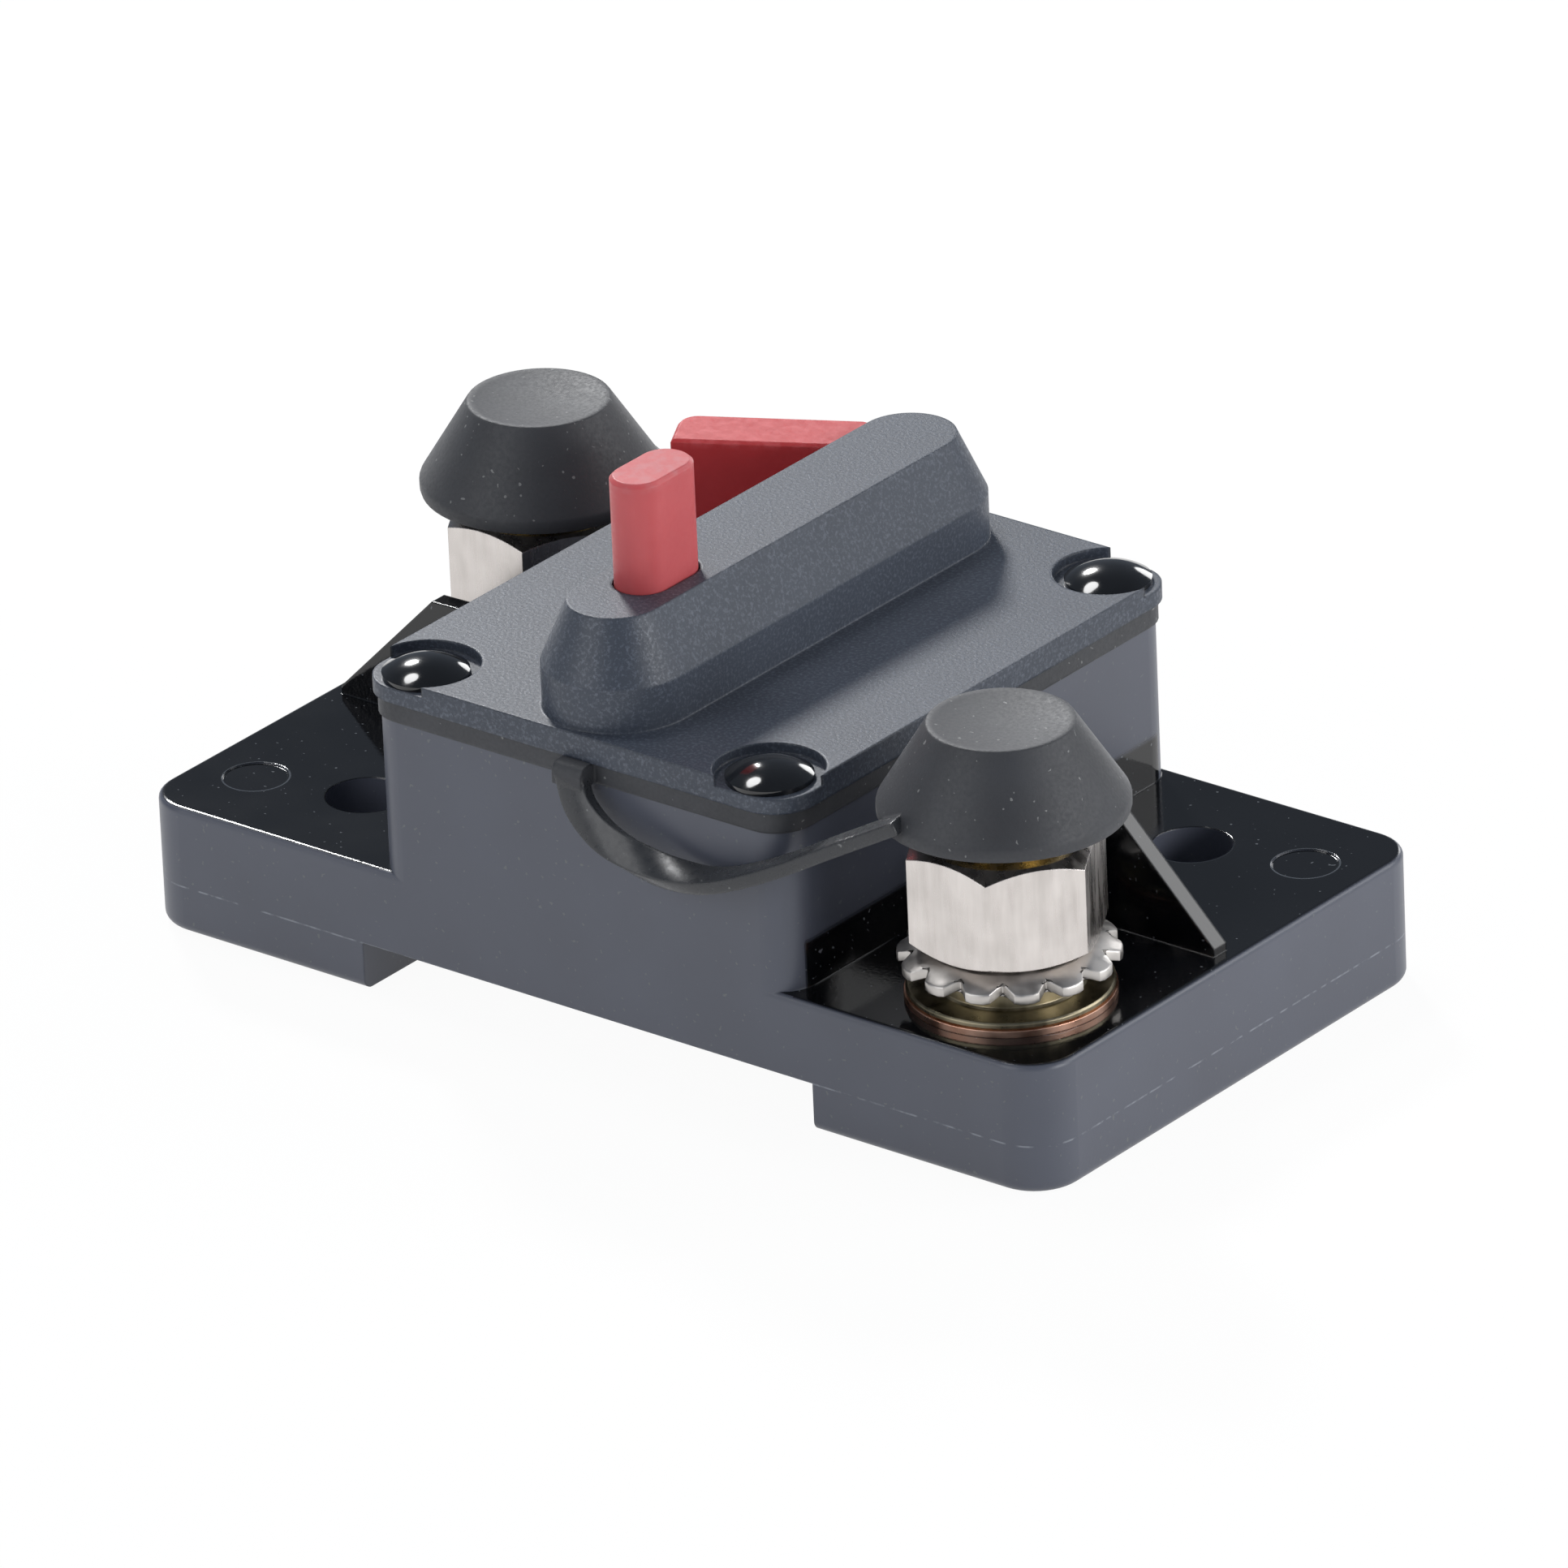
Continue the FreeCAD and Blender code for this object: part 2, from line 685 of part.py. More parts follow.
def terminal_nut():
    nut_top = nut_bottom + nut_height
    nut = hexagon(stud_x, stud_y, nut_flats, nut_turn_angle, nut_bottom, nut_top)
    corner_r = nut_flats / math.sqrt(3) + 1
    drop = (corner_r - nut_chamfer_r) * math.tan(math.radians(nut_chamfer_angle))
    bore_r = stud_r + close_gap
    blank = turned_profile([
        (bore_r, nut_bottom),
        (nut_chamfer_r, nut_bottom),
        (corner_r, nut_bottom + drop),
        (corner_r, nut_top - drop),
        (nut_chamfer_r, nut_top),
        (bore_r, nut_top),
    ], stud_x, stud_y)
    return nut.common(blank)


def terminal_bush():
    bottom = shelf_height + flat_washer_thickness
    bore_r = stud_r + close_gap
    flange = ring(stud_x, stud_y, bore_r, bush_flange_r, bottom, bottom + bush_flange_thickness)
    return flange.fuse(ring(stud_x, stud_y, bore_r, bush_hub_r, bottom, bottom + bush_height))


def small_rivet(x, y, head_r, seat):
    shank = rod(x, y, small_rivet_r, cavity_floor, seat)
    return shank.fuse(rod(x, y, head_r, seat, seat + small_rivet_head_height))


def bracket_rivet():
    return small_rivet(small_rivet_x, arm_pivot_y, small_rivet_head_r, bar_top + bracket_wall)


def rivet_space():
    r = small_rivet_r + close_gap
    return rod(small_rivet_x, arm_pivot_y, r, cavity_floor, bar_top + bracket_wall)


def mirrored(shape):
    return shape.mirror(vec(0, 0, 0), vec(1, 0, 0))


def load_terminal_bar():
    bar = half_turn(terminal_bar())
    return bar.cut(rivet_space()).cut(mirrored(rivet_space()))


def arm_bracket():
    inner = arm_half_width + bracket_gap
    outer = inner + bracket_wall
    near = arm_pivot_y - bracket_length / 2
    far = arm_pivot_y + bracket_length / 2
    bracket = box(-outer, outer, near, far, bar_top, bracket_ear_top)
    bracket = bracket.cut(box(-inner, inner, near, far, bar_top + bracket_wall, bracket_ear_top))
    bracket = bracket.cut(rod_along_x(arm_pivot_y, arm_pivot_z, arm_pin_r + close_gap, -outer, outer))
    return bracket.cut(rivet_space()).cut(mirrored(rivet_space()))


def arm_pivot_pin():
    outer = arm_half_width + bracket_gap + bracket_wall + free_gap
    return rod_along_x(arm_pivot_y, arm_pivot_z, arm_pin_r, -outer, outer)


def contact_arm():
    tip_y = contact_y - arm_tip
    blade = box(-arm_half_width, arm_half_width, tip_y, arm_pivot_y, arm_bottom, arm_top)
    eye = rod_along_x(arm_pivot_y, arm_pivot_z, arm_eye_r, -arm_half_width, arm_half_width)
    follower_y = lever_y - cam_reach + cam_finger_width / 2
    follower = rod(lever_x, follower_y, arm_follower_r, arm_pivot_z, cam_bottom - free_gap)
    arm = blade.fuse([eye, follower])
    bore_r = arm_pin_r + running_gap
    return arm.cut(rod_along_x(arm_pivot_y, arm_pivot_z, bore_r, -arm_half_width, arm_half_width))


def arm_spring():
    return coil(0, 0, arm_spring_r, arm_spring_wire_r, arm_spring_turns,
                cavity_floor, arm_bottom)


def bimetal_rivet_space():
    r = small_rivet_r + close_gap
    return rod(bimetal_rivet_x, bimetal_rivet_y, r, cavity_floor, clamp_top)


def bimetal_strip():
    foot = box(-bimetal_half_width, bimetal_half_width, bimetal_y, bimetal_y + bimetal_foot,
               bar_top, bar_top + bimetal_thickness)
    lip_top = button_stem_end - button_travel - bimetal_lip_gap
    upright = box(-bimetal_half_width, bimetal_half_width, bimetal_y, bimetal_y + bimetal_thickness,
                  bar_top, lip_top)
    lip = box(-bimetal_half_width, bimetal_half_width, bimetal_y, bimetal_y + bimetal_lip,
              lip_top - bimetal_thickness, lip_top)
    strip = foot.fuse([upright, lip]).removeSplitter()
    return strip.cut(bimetal_rivet_space()).cut(mirrored(bimetal_rivet_space()))


def bimetal_clamp():
    plate = box(-bimetal_half_width, bimetal_half_width, bimetal_y + bimetal_thickness + close_gap,
                bimetal_y + bimetal_foot, bar_top + bimetal_thickness, clamp_top)
    return plate.cut(bimetal_rivet_space()).cut(mirrored(bimetal_rivet_space()))


def bimetal_rivet():
    return small_rivet(bimetal_rivet_x, bimetal_rivet_y, small_rivet_head_r - free_gap / 2, clamp_top)


def line_terminal_bar():
    return terminal_bar().cut(bimetal_rivet_space()).cut(mirrored(bimetal_rivet_space()))


nodes = {
    "housing": housing(),
    "lid": lid(),
    "gasket_with_stud_caps": gasket_with_stud_caps(),
    "lid_rivets": at_lid_rivets(lid_rivet()),
    "terminal_studs": pair(terminal_stud()),
    "terminal_nuts": pair(terminal_nut()),
    "star_washers": pair(star_washer()),
    "terminal_bushes": pair(terminal_bush()),
    "flat_washers": pair(ring(stud_x, stud_y, stud_r + close_gap, flat_washer_r,
                              shelf_height, shelf_height + flat_washer_thickness)),
    "line_terminal_bar": line_terminal_bar(),
    "load_terminal_bar": load_terminal_bar(),
    "fixed_contact": rod(0, contact_y, fixed_contact_r, bar_top, bar_top + fixed_contact_height),
    "moving_contact": rod(0, contact_y, moving_contact_r, arm_bottom - moving_contact_height, arm_bottom),
    "contact_arm": contact_arm(),
    "arm_bracket": arm_bracket(),
    "arm_pivot_pin": arm_pivot_pin(),
    "bracket_rivets": Part.makeCompound([bracket_rivet(), mirrored(bracket_rivet())]),
    "arm_spring": arm_spring(),
    "bimetal_strip": bimetal_strip(),
    "bimetal_clamp": bimetal_clamp(),
    "bimetal_rivets": Part.makeCompound([bimetal_rivet(), mirrored(bimetal_rivet())]),
    "trip_button": trip_button(),
    "button_seal": button_seal(),
    "button_retainer": button_retainer(),
    "button_spring": button_spring(),
    "reset_lever": reset_lever(),
    "lever_shaft": rod(lever_x, lever_y, shaft_r, shaft_end, lever_top),
    "reset_cam": reset_cam(),
    "lever_spring": lever_spring(),
    "shaft_seal": shaft_seal(),
}

os.makedirs("parts", exist_ok=True)
for name, shape in nodes.items():
    shape.exportStep("parts/" + name + ".step")
    print(name, len(shape.Solids), round(shape.Volume, 2), shape.isValid())
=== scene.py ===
import math

import bpy
from mathutils import Matrix, Vector


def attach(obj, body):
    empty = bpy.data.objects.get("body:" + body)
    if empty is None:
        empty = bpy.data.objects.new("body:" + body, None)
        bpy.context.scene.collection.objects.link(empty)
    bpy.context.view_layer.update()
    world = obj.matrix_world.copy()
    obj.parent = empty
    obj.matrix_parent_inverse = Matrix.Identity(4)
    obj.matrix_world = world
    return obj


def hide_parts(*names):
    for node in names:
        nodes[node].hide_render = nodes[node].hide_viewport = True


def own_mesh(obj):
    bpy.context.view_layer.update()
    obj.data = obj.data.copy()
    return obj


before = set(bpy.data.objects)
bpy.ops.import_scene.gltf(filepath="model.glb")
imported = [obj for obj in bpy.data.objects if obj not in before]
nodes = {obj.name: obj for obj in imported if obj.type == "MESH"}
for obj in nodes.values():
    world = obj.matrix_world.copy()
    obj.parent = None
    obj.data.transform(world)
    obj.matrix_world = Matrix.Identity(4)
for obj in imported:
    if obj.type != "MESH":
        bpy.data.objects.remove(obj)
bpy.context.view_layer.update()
mm = 0.001
print("frame loaded:", len(nodes), "nodes")

# Camera: a long lens, placed where the photograph's edges fit the solids
camera = {
    "place": (0.856872, -1.046087, 0.654597),
    "right": (0.785108, 0.618080, -0.039786),
    "up": (-0.236672, 0.358752, 0.902930),
    "back": (0.572356, -0.699482, 0.427942),
    "lens": 429.09,
    "sensor": 36.0,
}


def makeCamera():
    data = bpy.data.cameras.new("photoCamera")
    data.sensor_width = camera["sensor"]
    data.sensor_height = camera["sensor"]
    data.lens = camera["lens"]
    data.clip_start = 0.05
    data.clip_end = 50
    data.dof.use_dof = False
    holder = bpy.data.objects.new("photoCamera", data)
    bpy.context.scene.collection.objects.link(holder)
    axes = Matrix((camera["right"], camera["up"], camera["back"])).transposed()
    holder.matrix_world = Matrix.Translation(camera["place"]) @ axes.to_4x4()
    bpy.context.scene.camera = holder


makeCamera()
bpy.context.scene.view_settings.view_transform = "Standard"
print("camera placed")


# Materials: one function turns a hex colour to linear, one adds a node with its settings and
# links. Sockets are named, or numbered where a node has several of the same name.
def linearColour(hexText):
    channels = [int(hexText[i:i + 2], 16) / 255 for i in (1, 3, 5)]
    linear = [c / 12.92 if c <= 0.04045 else ((c + 0.055) / 1.055) ** 2.4 for c in channels]
    return (*linear, 1.0)


def addNode(tree, kind, settings=None, links=None):
    node = tree.nodes.new(kind)
    for key, value in (settings or {}).items():
        if isinstance(value, str) and value.startswith("#"):
            value = linearColour(value)
        if isinstance(key, int) or key in node.inputs:
            node.inputs[key].default_value = value
        else:
            setattr(node, key, value)
    for key, source in (links or {}).items():
        tree.links.new(source, node.inputs[key])
    return node


def startMaterial(name):
    material = bpy.data.materials.new(name)
    material.use_nodes = True
    material.node_tree.nodes.clear()
    place = addNode(material.node_tree, "ShaderNodeTexCoord").outputs["Object"]
    return material, material.node_tree, place


def closeMaterial(tree, shader):
    addNode(tree, "ShaderNodeOutputMaterial", {}, {"Surface": shader.outputs[0]})


# Nearly all of a noise pattern lies between the first two levels, and only its highest spots
# reach the next two, where they show as dust. Edges look rounded by that many shading samples.
noiseSpread = {"From Min": 0.3, "From Max": 0.7}
dustLevels = {"From Min": 0.80, "From Max": 0.84}
edgeSamples = 6

# Phenolic moulding compound, pressed in a steel mould. The tops, the ribs and the foot of the
# block come out of it polished and nearly black, the outer walls satin and slate grey, with a
# thin pale flash line. The two colours are a shaded and a lit copy of one material: the near
# black is partly painted shade and painted dark reflection, the slate grey partly painted
# reflection of the pale floor.
phenolic = {
    # polished colour: near black, partly painted shade and dark reflection; satin colours: slate grey,
    # partly painted reflection of the pale floor
    "polishedShade": "#0b0c0f", "litSatinLow": "#484b56", "litSatinHigh": "#535763", "dust": "#5f6266",
    "flash": "#8a8e96", "flashZ": 4.2, "flashHalf": 0.06,
    "ringPlace": (40.25, 16.9, 0.0), "ringRadius": 2.75, "ringHalf": 0.06, "ringColour": "#5a5e64",
    "blockX": 21.2, "shelfTop": 11.2, "polishAndShadeTop": 15.3,
    "flatFrom": 0.93, "flatTo": 0.98, "faceNear": 0.1, "faceFar": 0.2, "polishBlend": 0.3,
    "flashFade": 1.4, "dashFrom": 0.42, "dashTo": 0.6, "dashShare": 0.7,
    "ringFade": 1.6, "ringShare": 0.7, "wornLow": -0.015, "wornHigh": 0.03,
    "grainHeight": 0.2, "bumpStrength": 0.4, "bumpMm": 0.06,
    "polishedRoughness": 0.09, "satinRoughness": 0.36,
    "cloudMm": 9.0, "grainMm": 0.35, "dashMm": 1.1, "dustMm": 0.35, "edgeMm": 0.25,
}


def phenolicMoulding():
    s = phenolic
    material, tree, place = startMaterial("phenolicMoulding")
    axes = addNode(tree, "ShaderNodeSeparateXYZ", {}, {"Vector": place})
    facing = addNode(tree, "ShaderNodeNewGeometry")
    facing = addNode(tree, "ShaderNodeSeparateXYZ", {}, {"Vector": facing.outputs["True Normal"]})
    # Mask of the polished parts: tops facing up, the foot of the block and the ribs. It sets their
    # polished roughness and their near black colour, which is partly painted shade and painted dark
    # reflection.
    flat = addNode(tree, "ShaderNodeMapRange", {"From Min": s["flatFrom"], "From Max": s["flatTo"]},
                   {"Value": facing.outputs["Z"]})
    along = addNode(tree, "ShaderNodeMath", {"operation": "ABSOLUTE"}, {0: axes.outputs["X"]})
    beside = addNode(tree, "ShaderNodeMapRange",
                     {"From Min": (s["blockX"] - s["faceFar"]) * mm,
                      "From Max": (s["blockX"] - s["faceNear"]) * mm},
                     {"Value": along.outputs[0]})
    ribs = addNode(tree, "ShaderNodeMapRange",
                   {"From Min": (s["blockX"] + s["faceNear"]) * mm,
                    "From Max": (s["blockX"] + s["faceFar"]) * mm},
                   {"Value": along.outputs[0]})
    foot = addNode(tree, "ShaderNodeMapRange",
                   {"From Min": (s["polishAndShadeTop"] - s["polishBlend"]) * mm,
                    "From Max": (s["polishAndShadeTop"] + s["polishBlend"]) * mm,
                    "To Min": 1.0, "To Max": 0.0},
                   {"Value": axes.outputs["Z"]})
    foot = addNode(tree, "ShaderNodeMath", {"operation": "MULTIPLY"},
                   {0: foot.outputs[0], 1: beside.outputs[0]})
    inner = addNode(tree, "ShaderNodeMath", {"operation": "MAXIMUM"},
                    {0: foot.outputs[0], 1: ribs.outputs[0]})
    above = addNode(tree, "ShaderNodeMapRange",
                    {"From Min": (s["shelfTop"] - s["faceNear"]) * mm, "From Max": s["shelfTop"] * mm},
                    {"Value": axes.outputs["Z"]})
    inner = addNode(tree, "ShaderNodeMath", {"operation": "MULTIPLY"},
                    {0: inner.outputs[0], 1: above.outputs[0]})
    polishedAndShaded = addNode(tree, "ShaderNodeMath", {"operation": "MAXIMUM"},
                     {0: flat.outputs[0], 1: inner.outputs[0]})
    cloud = addNode(tree, "ShaderNodeTexNoise", {"Scale": 1 / (s["cloudMm"] * mm)}, {"Vector": place})
    grain = addNode(tree, "ShaderNodeTexNoise", {"Scale": 1 / (s["grainMm"] * mm)}, {"Vector": place})
    # The satin walls' slate grey, far paler than the polished parts, is partly painted reflection of
    # the pale floor
    litSatin = addNode(tree, "ShaderNodeMix", {"data_type": "RGBA", 6: s["litSatinLow"], 7: s["litSatinHigh"]},
                    {0: cloud.outputs["Fac"]})
    colour = addNode(tree, "ShaderNodeMix", {"data_type": "RGBA", 7: s["polishedShade"]},
                     {0: polishedAndShaded.outputs[0], 6: litSatin.outputs[2]})
    # dust: the highest spots of a fine pattern
    specks = addNode(tree, "ShaderNodeTexNoise", {"Scale": 1 / (s["dustMm"] * mm), "Detail": 0.0},
                     {"Vector": place})
    specks = addNode(tree, "ShaderNodeMapRange", dustLevels, {"Value": specks.outputs["Fac"]})
    colour = addNode(tree, "ShaderNodeMix", {"data_type": "RGBA", 7: s["dust"]},
                     {0: specks.outputs[0], 6: colour.outputs[2]})
    # flash line round the base, broken into dashes
    away = addNode(tree, "ShaderNodeMath", {"operation": "SUBTRACT", 1: s["flashZ"] * mm},
                   {0: axes.outputs["Z"]})
    away = addNode(tree, "ShaderNodeMath", {"operation": "ABSOLUTE"}, {0: away.outputs[0]})
    line = addNode(tree, "ShaderNodeMapRange",
                   {"From Min": s["flashHalf"] * mm, "From Max": s["flashHalf"] * mm * s["flashFade"],
                    "To Min": 1.0, "To Max": 0.0},
                   {"Value": away.outputs[0]})
    dashes = addNode(tree, "ShaderNodeTexNoise", {"Scale": 1 / (s["dashMm"] * mm)}, {"Vector": place})
    dashes = addNode(tree, "ShaderNodeMapRange",
                     {"From Min": s["dashFrom"], "From Max": s["dashTo"],
                      "To Min": 0.0, "To Max": s["dashShare"]},
                     {"Value": dashes.outputs["Fac"]})
    line = addNode(tree, "ShaderNodeMath", {"operation": "MULTIPLY"},
                   {0: line.outputs[0], 1: dashes.outputs[0]})
    colour = addNode(tree, "ShaderNodeMix", {"data_type": "RGBA", 7: s["flash"]},
                     {0: line.outputs[0], 6: colour.outputs[2]})
    # pale ring round each ejector mark
    mirrored = addNode(tree, "ShaderNodeVectorMath", {"operation": "ABSOLUTE"}, {0: place})
    offset = addNode(tree, "ShaderNodeVectorMath",
                     {"operation": "SUBTRACT", 1: [c * mm for c in s["ringPlace"]]},
                     {0: mirrored.outputs[0]})
    offset = addNode(tree, "ShaderNodeVectorMath", {"operation": "MULTIPLY", 1: (1, 1, 0)},
                     {0: offset.outputs[0]})
    radius = addNode(tree, "ShaderNodeVectorMath", {"operation": "LENGTH"}, {0: offset.outputs[0]})
    away = addNode(tree, "ShaderNodeMath", {"operation": "SUBTRACT", 1: s["ringRadius"] * mm},
                   {0: radius.outputs["Value"]})
    away = addNode(tree, "ShaderNodeMath", {"operation": "ABSOLUTE"}, {0: away.outputs[0]})
    ring = addNode(tree, "ShaderNodeMapRange",
                   {"From Min": s["ringHalf"] * mm, "From Max": s["ringHalf"] * mm * s["ringFade"],
                    "To Min": s["ringShare"], "To Max": 0.0},
                   {"Value": away.outputs[0]})
    ring = addNode(tree, "ShaderNodeMath", {"operation": "MULTIPLY"},
                   {0: ring.outputs[0], 1: flat.outputs[0]})
    colour = addNode(tree, "ShaderNodeMix", {"data_type": "RGBA", 7: s["ringColour"]},
                     {0: ring.outputs[0], 6: colour.outputs[2]})
    roughness = addNode(tree, "ShaderNodeMapRange",
                        {"To Min": s["satinRoughness"], "To Max": s["polishedRoughness"]},
                        {"Value": polishedAndShaded.outputs[0]})
    patches = addNode(tree, "ShaderNodeMapRange",
                   {**noiseSpread, "To Min": s["wornLow"], "To Max": s["wornHigh"]},
                   {"Value": cloud.outputs["Fac"]})
    roughness = addNode(tree, "ShaderNodeMath", {"operation": "ADD"},
                        {0: roughness.outputs[0], 1: patches.outputs[0]})
    soft = addNode(tree, "ShaderNodeBevel", {"samples": edgeSamples, "Radius": s["edgeMm"] * mm})
    height = addNode(tree, "ShaderNodeMapRange", {"To Max": s["grainHeight"]},
                     {"Value": grain.outputs["Fac"]})
    height = addNode(tree, "ShaderNodeMath", {"operation": "ADD"},
                     {0: height.outputs[0], 1: line.outputs[0]})
    normal = addNode(tree, "ShaderNodeBump",
                     {"Strength": s["bumpStrength"], "Distance": s["bumpMm"] * mm},
                     {"Height": height.outputs[0], "Normal": soft.outputs[0]})
    shader = addNode(tree, "ShaderNodeBsdfPrincipled", {"IOR": 1.55},
                     {"Base Color": colour.outputs[2], "Roughness": roughness.outputs[0],
                      "Normal": normal.outputs[0]})
    closeMaterial(tree, shader)
    return material


# Glass filled nylon with a spark eroded grain: satin slate grey, with faint glints painted into
# its colour as painted highlights. The grain is drawn about twice as coarse as it is, so that it shows.
nylon = {
    # the paler fleck colour is painted glints
    "low": "#323843", "high": "#3d4450", "paintedGlint": "#646b78",
    "cloudMm": 6.0, "grainMm": 0.3, "roughLow": 0.38, "roughHigh": 0.56, "edgeMm": 0.3,
    "glintFrom": 0.5, "glintTo": 0.72, "glintShare": 0.6, "bumpStrength": 0.45, "bumpMm": 0.05,
}


def texturedNylon():
    s = nylon
    material, tree, place = startMaterial("texturedNylon")
    cloud = addNode(tree, "ShaderNodeTexNoise", {"Scale": 1 / (s["cloudMm"] * mm)}, {"Vector": place})
    grain = addNode(tree, "ShaderNodeTexNoise",
                    {"Scale": 1 / (s["grainMm"] * mm), "Detail": 2.0, "Roughness": 0.7},
                    {"Vector": place})
    colour = addNode(tree, "ShaderNodeMix", {"data_type": "RGBA", 6: s["low"], 7: s["high"]},
                     {0: cloud.outputs["Fac"]})
    # painted glints: the highest spots of the grain are painted paler, as painted highlights
    lit = addNode(tree, "ShaderNodeMapRange",
                  {"From Min": s["glintFrom"], "From Max": s["glintTo"],
                   "To Max": s["glintShare"]},
                  {"Value": grain.outputs["Fac"]})
    colour = addNode(tree, "ShaderNodeMix", {"data_type": "RGBA", 7: s["paintedGlint"]},
                     {0: lit.outputs[0], 6: colour.outputs[2]})
    roughness = addNode(tree, "ShaderNodeMapRange",
                        {**noiseSpread, "To Min": s["roughHigh"], "To Max": s["roughLow"]},
                        {"Value": grain.outputs["Fac"]})
    soft = addNode(tree, "ShaderNodeBevel", {"samples": edgeSamples, "Radius": s["edgeMm"] * mm})
    normal = addNode(tree, "ShaderNodeBump",
                     {"Strength": s["bumpStrength"], "Distance": s["bumpMm"] * mm},
                     {"Height": grain.outputs["Fac"], "Normal": soft.outputs[0]})
    shader = addNode(tree, "ShaderNodeBsdfPrincipled", {"IOR": 1.53},
                     {"Base Color": colour.outputs[2], "Roughness": roughness.outputs[0],
                      "Normal": normal.outputs[0]})
    closeMaterial(tree, shader)
    return material


# Moulded EPDM rubber: nearly black with a soft sheen, and a little dust caught on it
epdm = {
    "low": "#292a2e", "high": "#36383d", "dust": "#6f7070",
    "cloudMm": 4.0, "grainMm": 0.3, "dustMm": 0.4,
    "roughLow": 0.50, "roughHigh": 0.64, "edgeMm": 0.3, "bumpStrength": 0.2, "bumpMm": 0.05,
}
# The straps come from a polished part of the same mould and shine more
strapRubber = {
    **epdm, "low": "#26282b", "high": "#313337", "roughLow": 0.24, "roughHigh": 0.34, "grainMm": 0.6,
}
# Moulded black acetal of the cam: the same soft black, a little smoother
acetal = {
    "low": "#191a1c", "high": "#222427", "dust": "#3a3b3c",
    "cloudMm": 4.0, "grainMm": 0.4, "dustMm": 0.9,
    "roughLow": 0.35, "roughHigh": 0.45, "edgeMm": 0.2, "bumpStrength": 0.2, "bumpMm": 0.05,
}


def softBlack(name, s):
    material, tree, place = startMaterial(name)
    cloud = addNode(tree, "ShaderNodeTexNoise", {"Scale": 1 / (s["cloudMm"] * mm)}, {"Vector": place})
    grain = addNode(tree, "ShaderNodeTexNoise", {"Scale": 1 / (s["grainMm"] * mm)}, {"Vector": place})
    colour = addNode(tree, "ShaderNodeMix", {"data_type": "RGBA", 6: s["low"], 7: s["high"]},
                     {0: cloud.outputs["Fac"]})
    specks = addNode(tree, "ShaderNodeTexNoise", {"Scale": 1 / (s["dustMm"] * mm), "Detail": 0.0},
                     {"Vector": place})
    specks = addNode(tree, "ShaderNodeMapRange", dustLevels, {"Value": specks.outputs["Fac"]})
    colour = addNode(tree, "ShaderNodeMix", {"data_type": "RGBA", 7: s["dust"]},
                     {0: specks.outputs[0], 6: colour.outputs[2]})
    roughness = addNode(tree, "ShaderNodeMapRange",
                        {**noiseSpread, "To Min": s["roughLow"], "To Max": s["roughHigh"]},
                        {"Value": grain.outputs["Fac"]})
    soft = addNode(tree, "ShaderNodeBevel", {"samples": edgeSamples, "Radius": s["edgeMm"] * mm})
    normal = addNode(tree, "ShaderNodeBump",
                     {"Strength": s["bumpStrength"], "Distance": s["bumpMm"] * mm},
                     {"Height": grain.outputs["Fac"], "Normal": soft.outputs[0]})
    shader = addNode(tree, "ShaderNodeBsdfPrincipled", {"IOR": 1.52, "Sheen Weight": 0.1},
                     {"Base Color": colour.outputs[2], "Roughness": roughness.outputs[0],
                      "Normal": normal.outputs[0]})
    closeMaterial(tree, shader)
    return material


# Black lacquer on steel: wet looking, slightly uneven
lacquer = {
    "low": "#050506", "high": "#121316", "cloudMm": 2.5, "roughLow": 0.08, "roughHigh": 0.16,
    "bumpStrength": 0.15, "bumpMm": 0.05,
}


def blackLacquer():
    s = lacquer
    material, tree, place = startMaterial("blackLacquer")
    cloud = addNode(tree, "ShaderNodeTexNoise", {"Scale": 1 / (s["cloudMm"] * mm)}, {"Vector": place})
    colour = addNode(tree, "ShaderNodeMix", {"data_type": "RGBA", 6: s["low"], 7: s["high"]},
                     {0: cloud.outputs["Fac"]})
    roughness = addNode(tree, "ShaderNodeMapRange",
                        {**noiseSpread, "To Min": s["roughLow"], "To Max": s["roughHigh"]},
                        {"Value": cloud.outputs["Fac"]})
    normal = addNode(tree, "ShaderNodeBump",
                     {"Strength": s["bumpStrength"], "Distance": s["bumpMm"] * mm},
                     {"Height": cloud.outputs["Fac"]})
    shader = addNode(tree, "ShaderNodeBsdfPrincipled",
                     {"IOR": 1.5, "Coat Weight": 0.6, "Coat Roughness": 0.05},
                     {"Base Color": colour.outputs[2], "Roughness": roughness.outputs[0],
                      "Normal": normal.outputs[0]})
    closeMaterial(tree, shader)
    return material


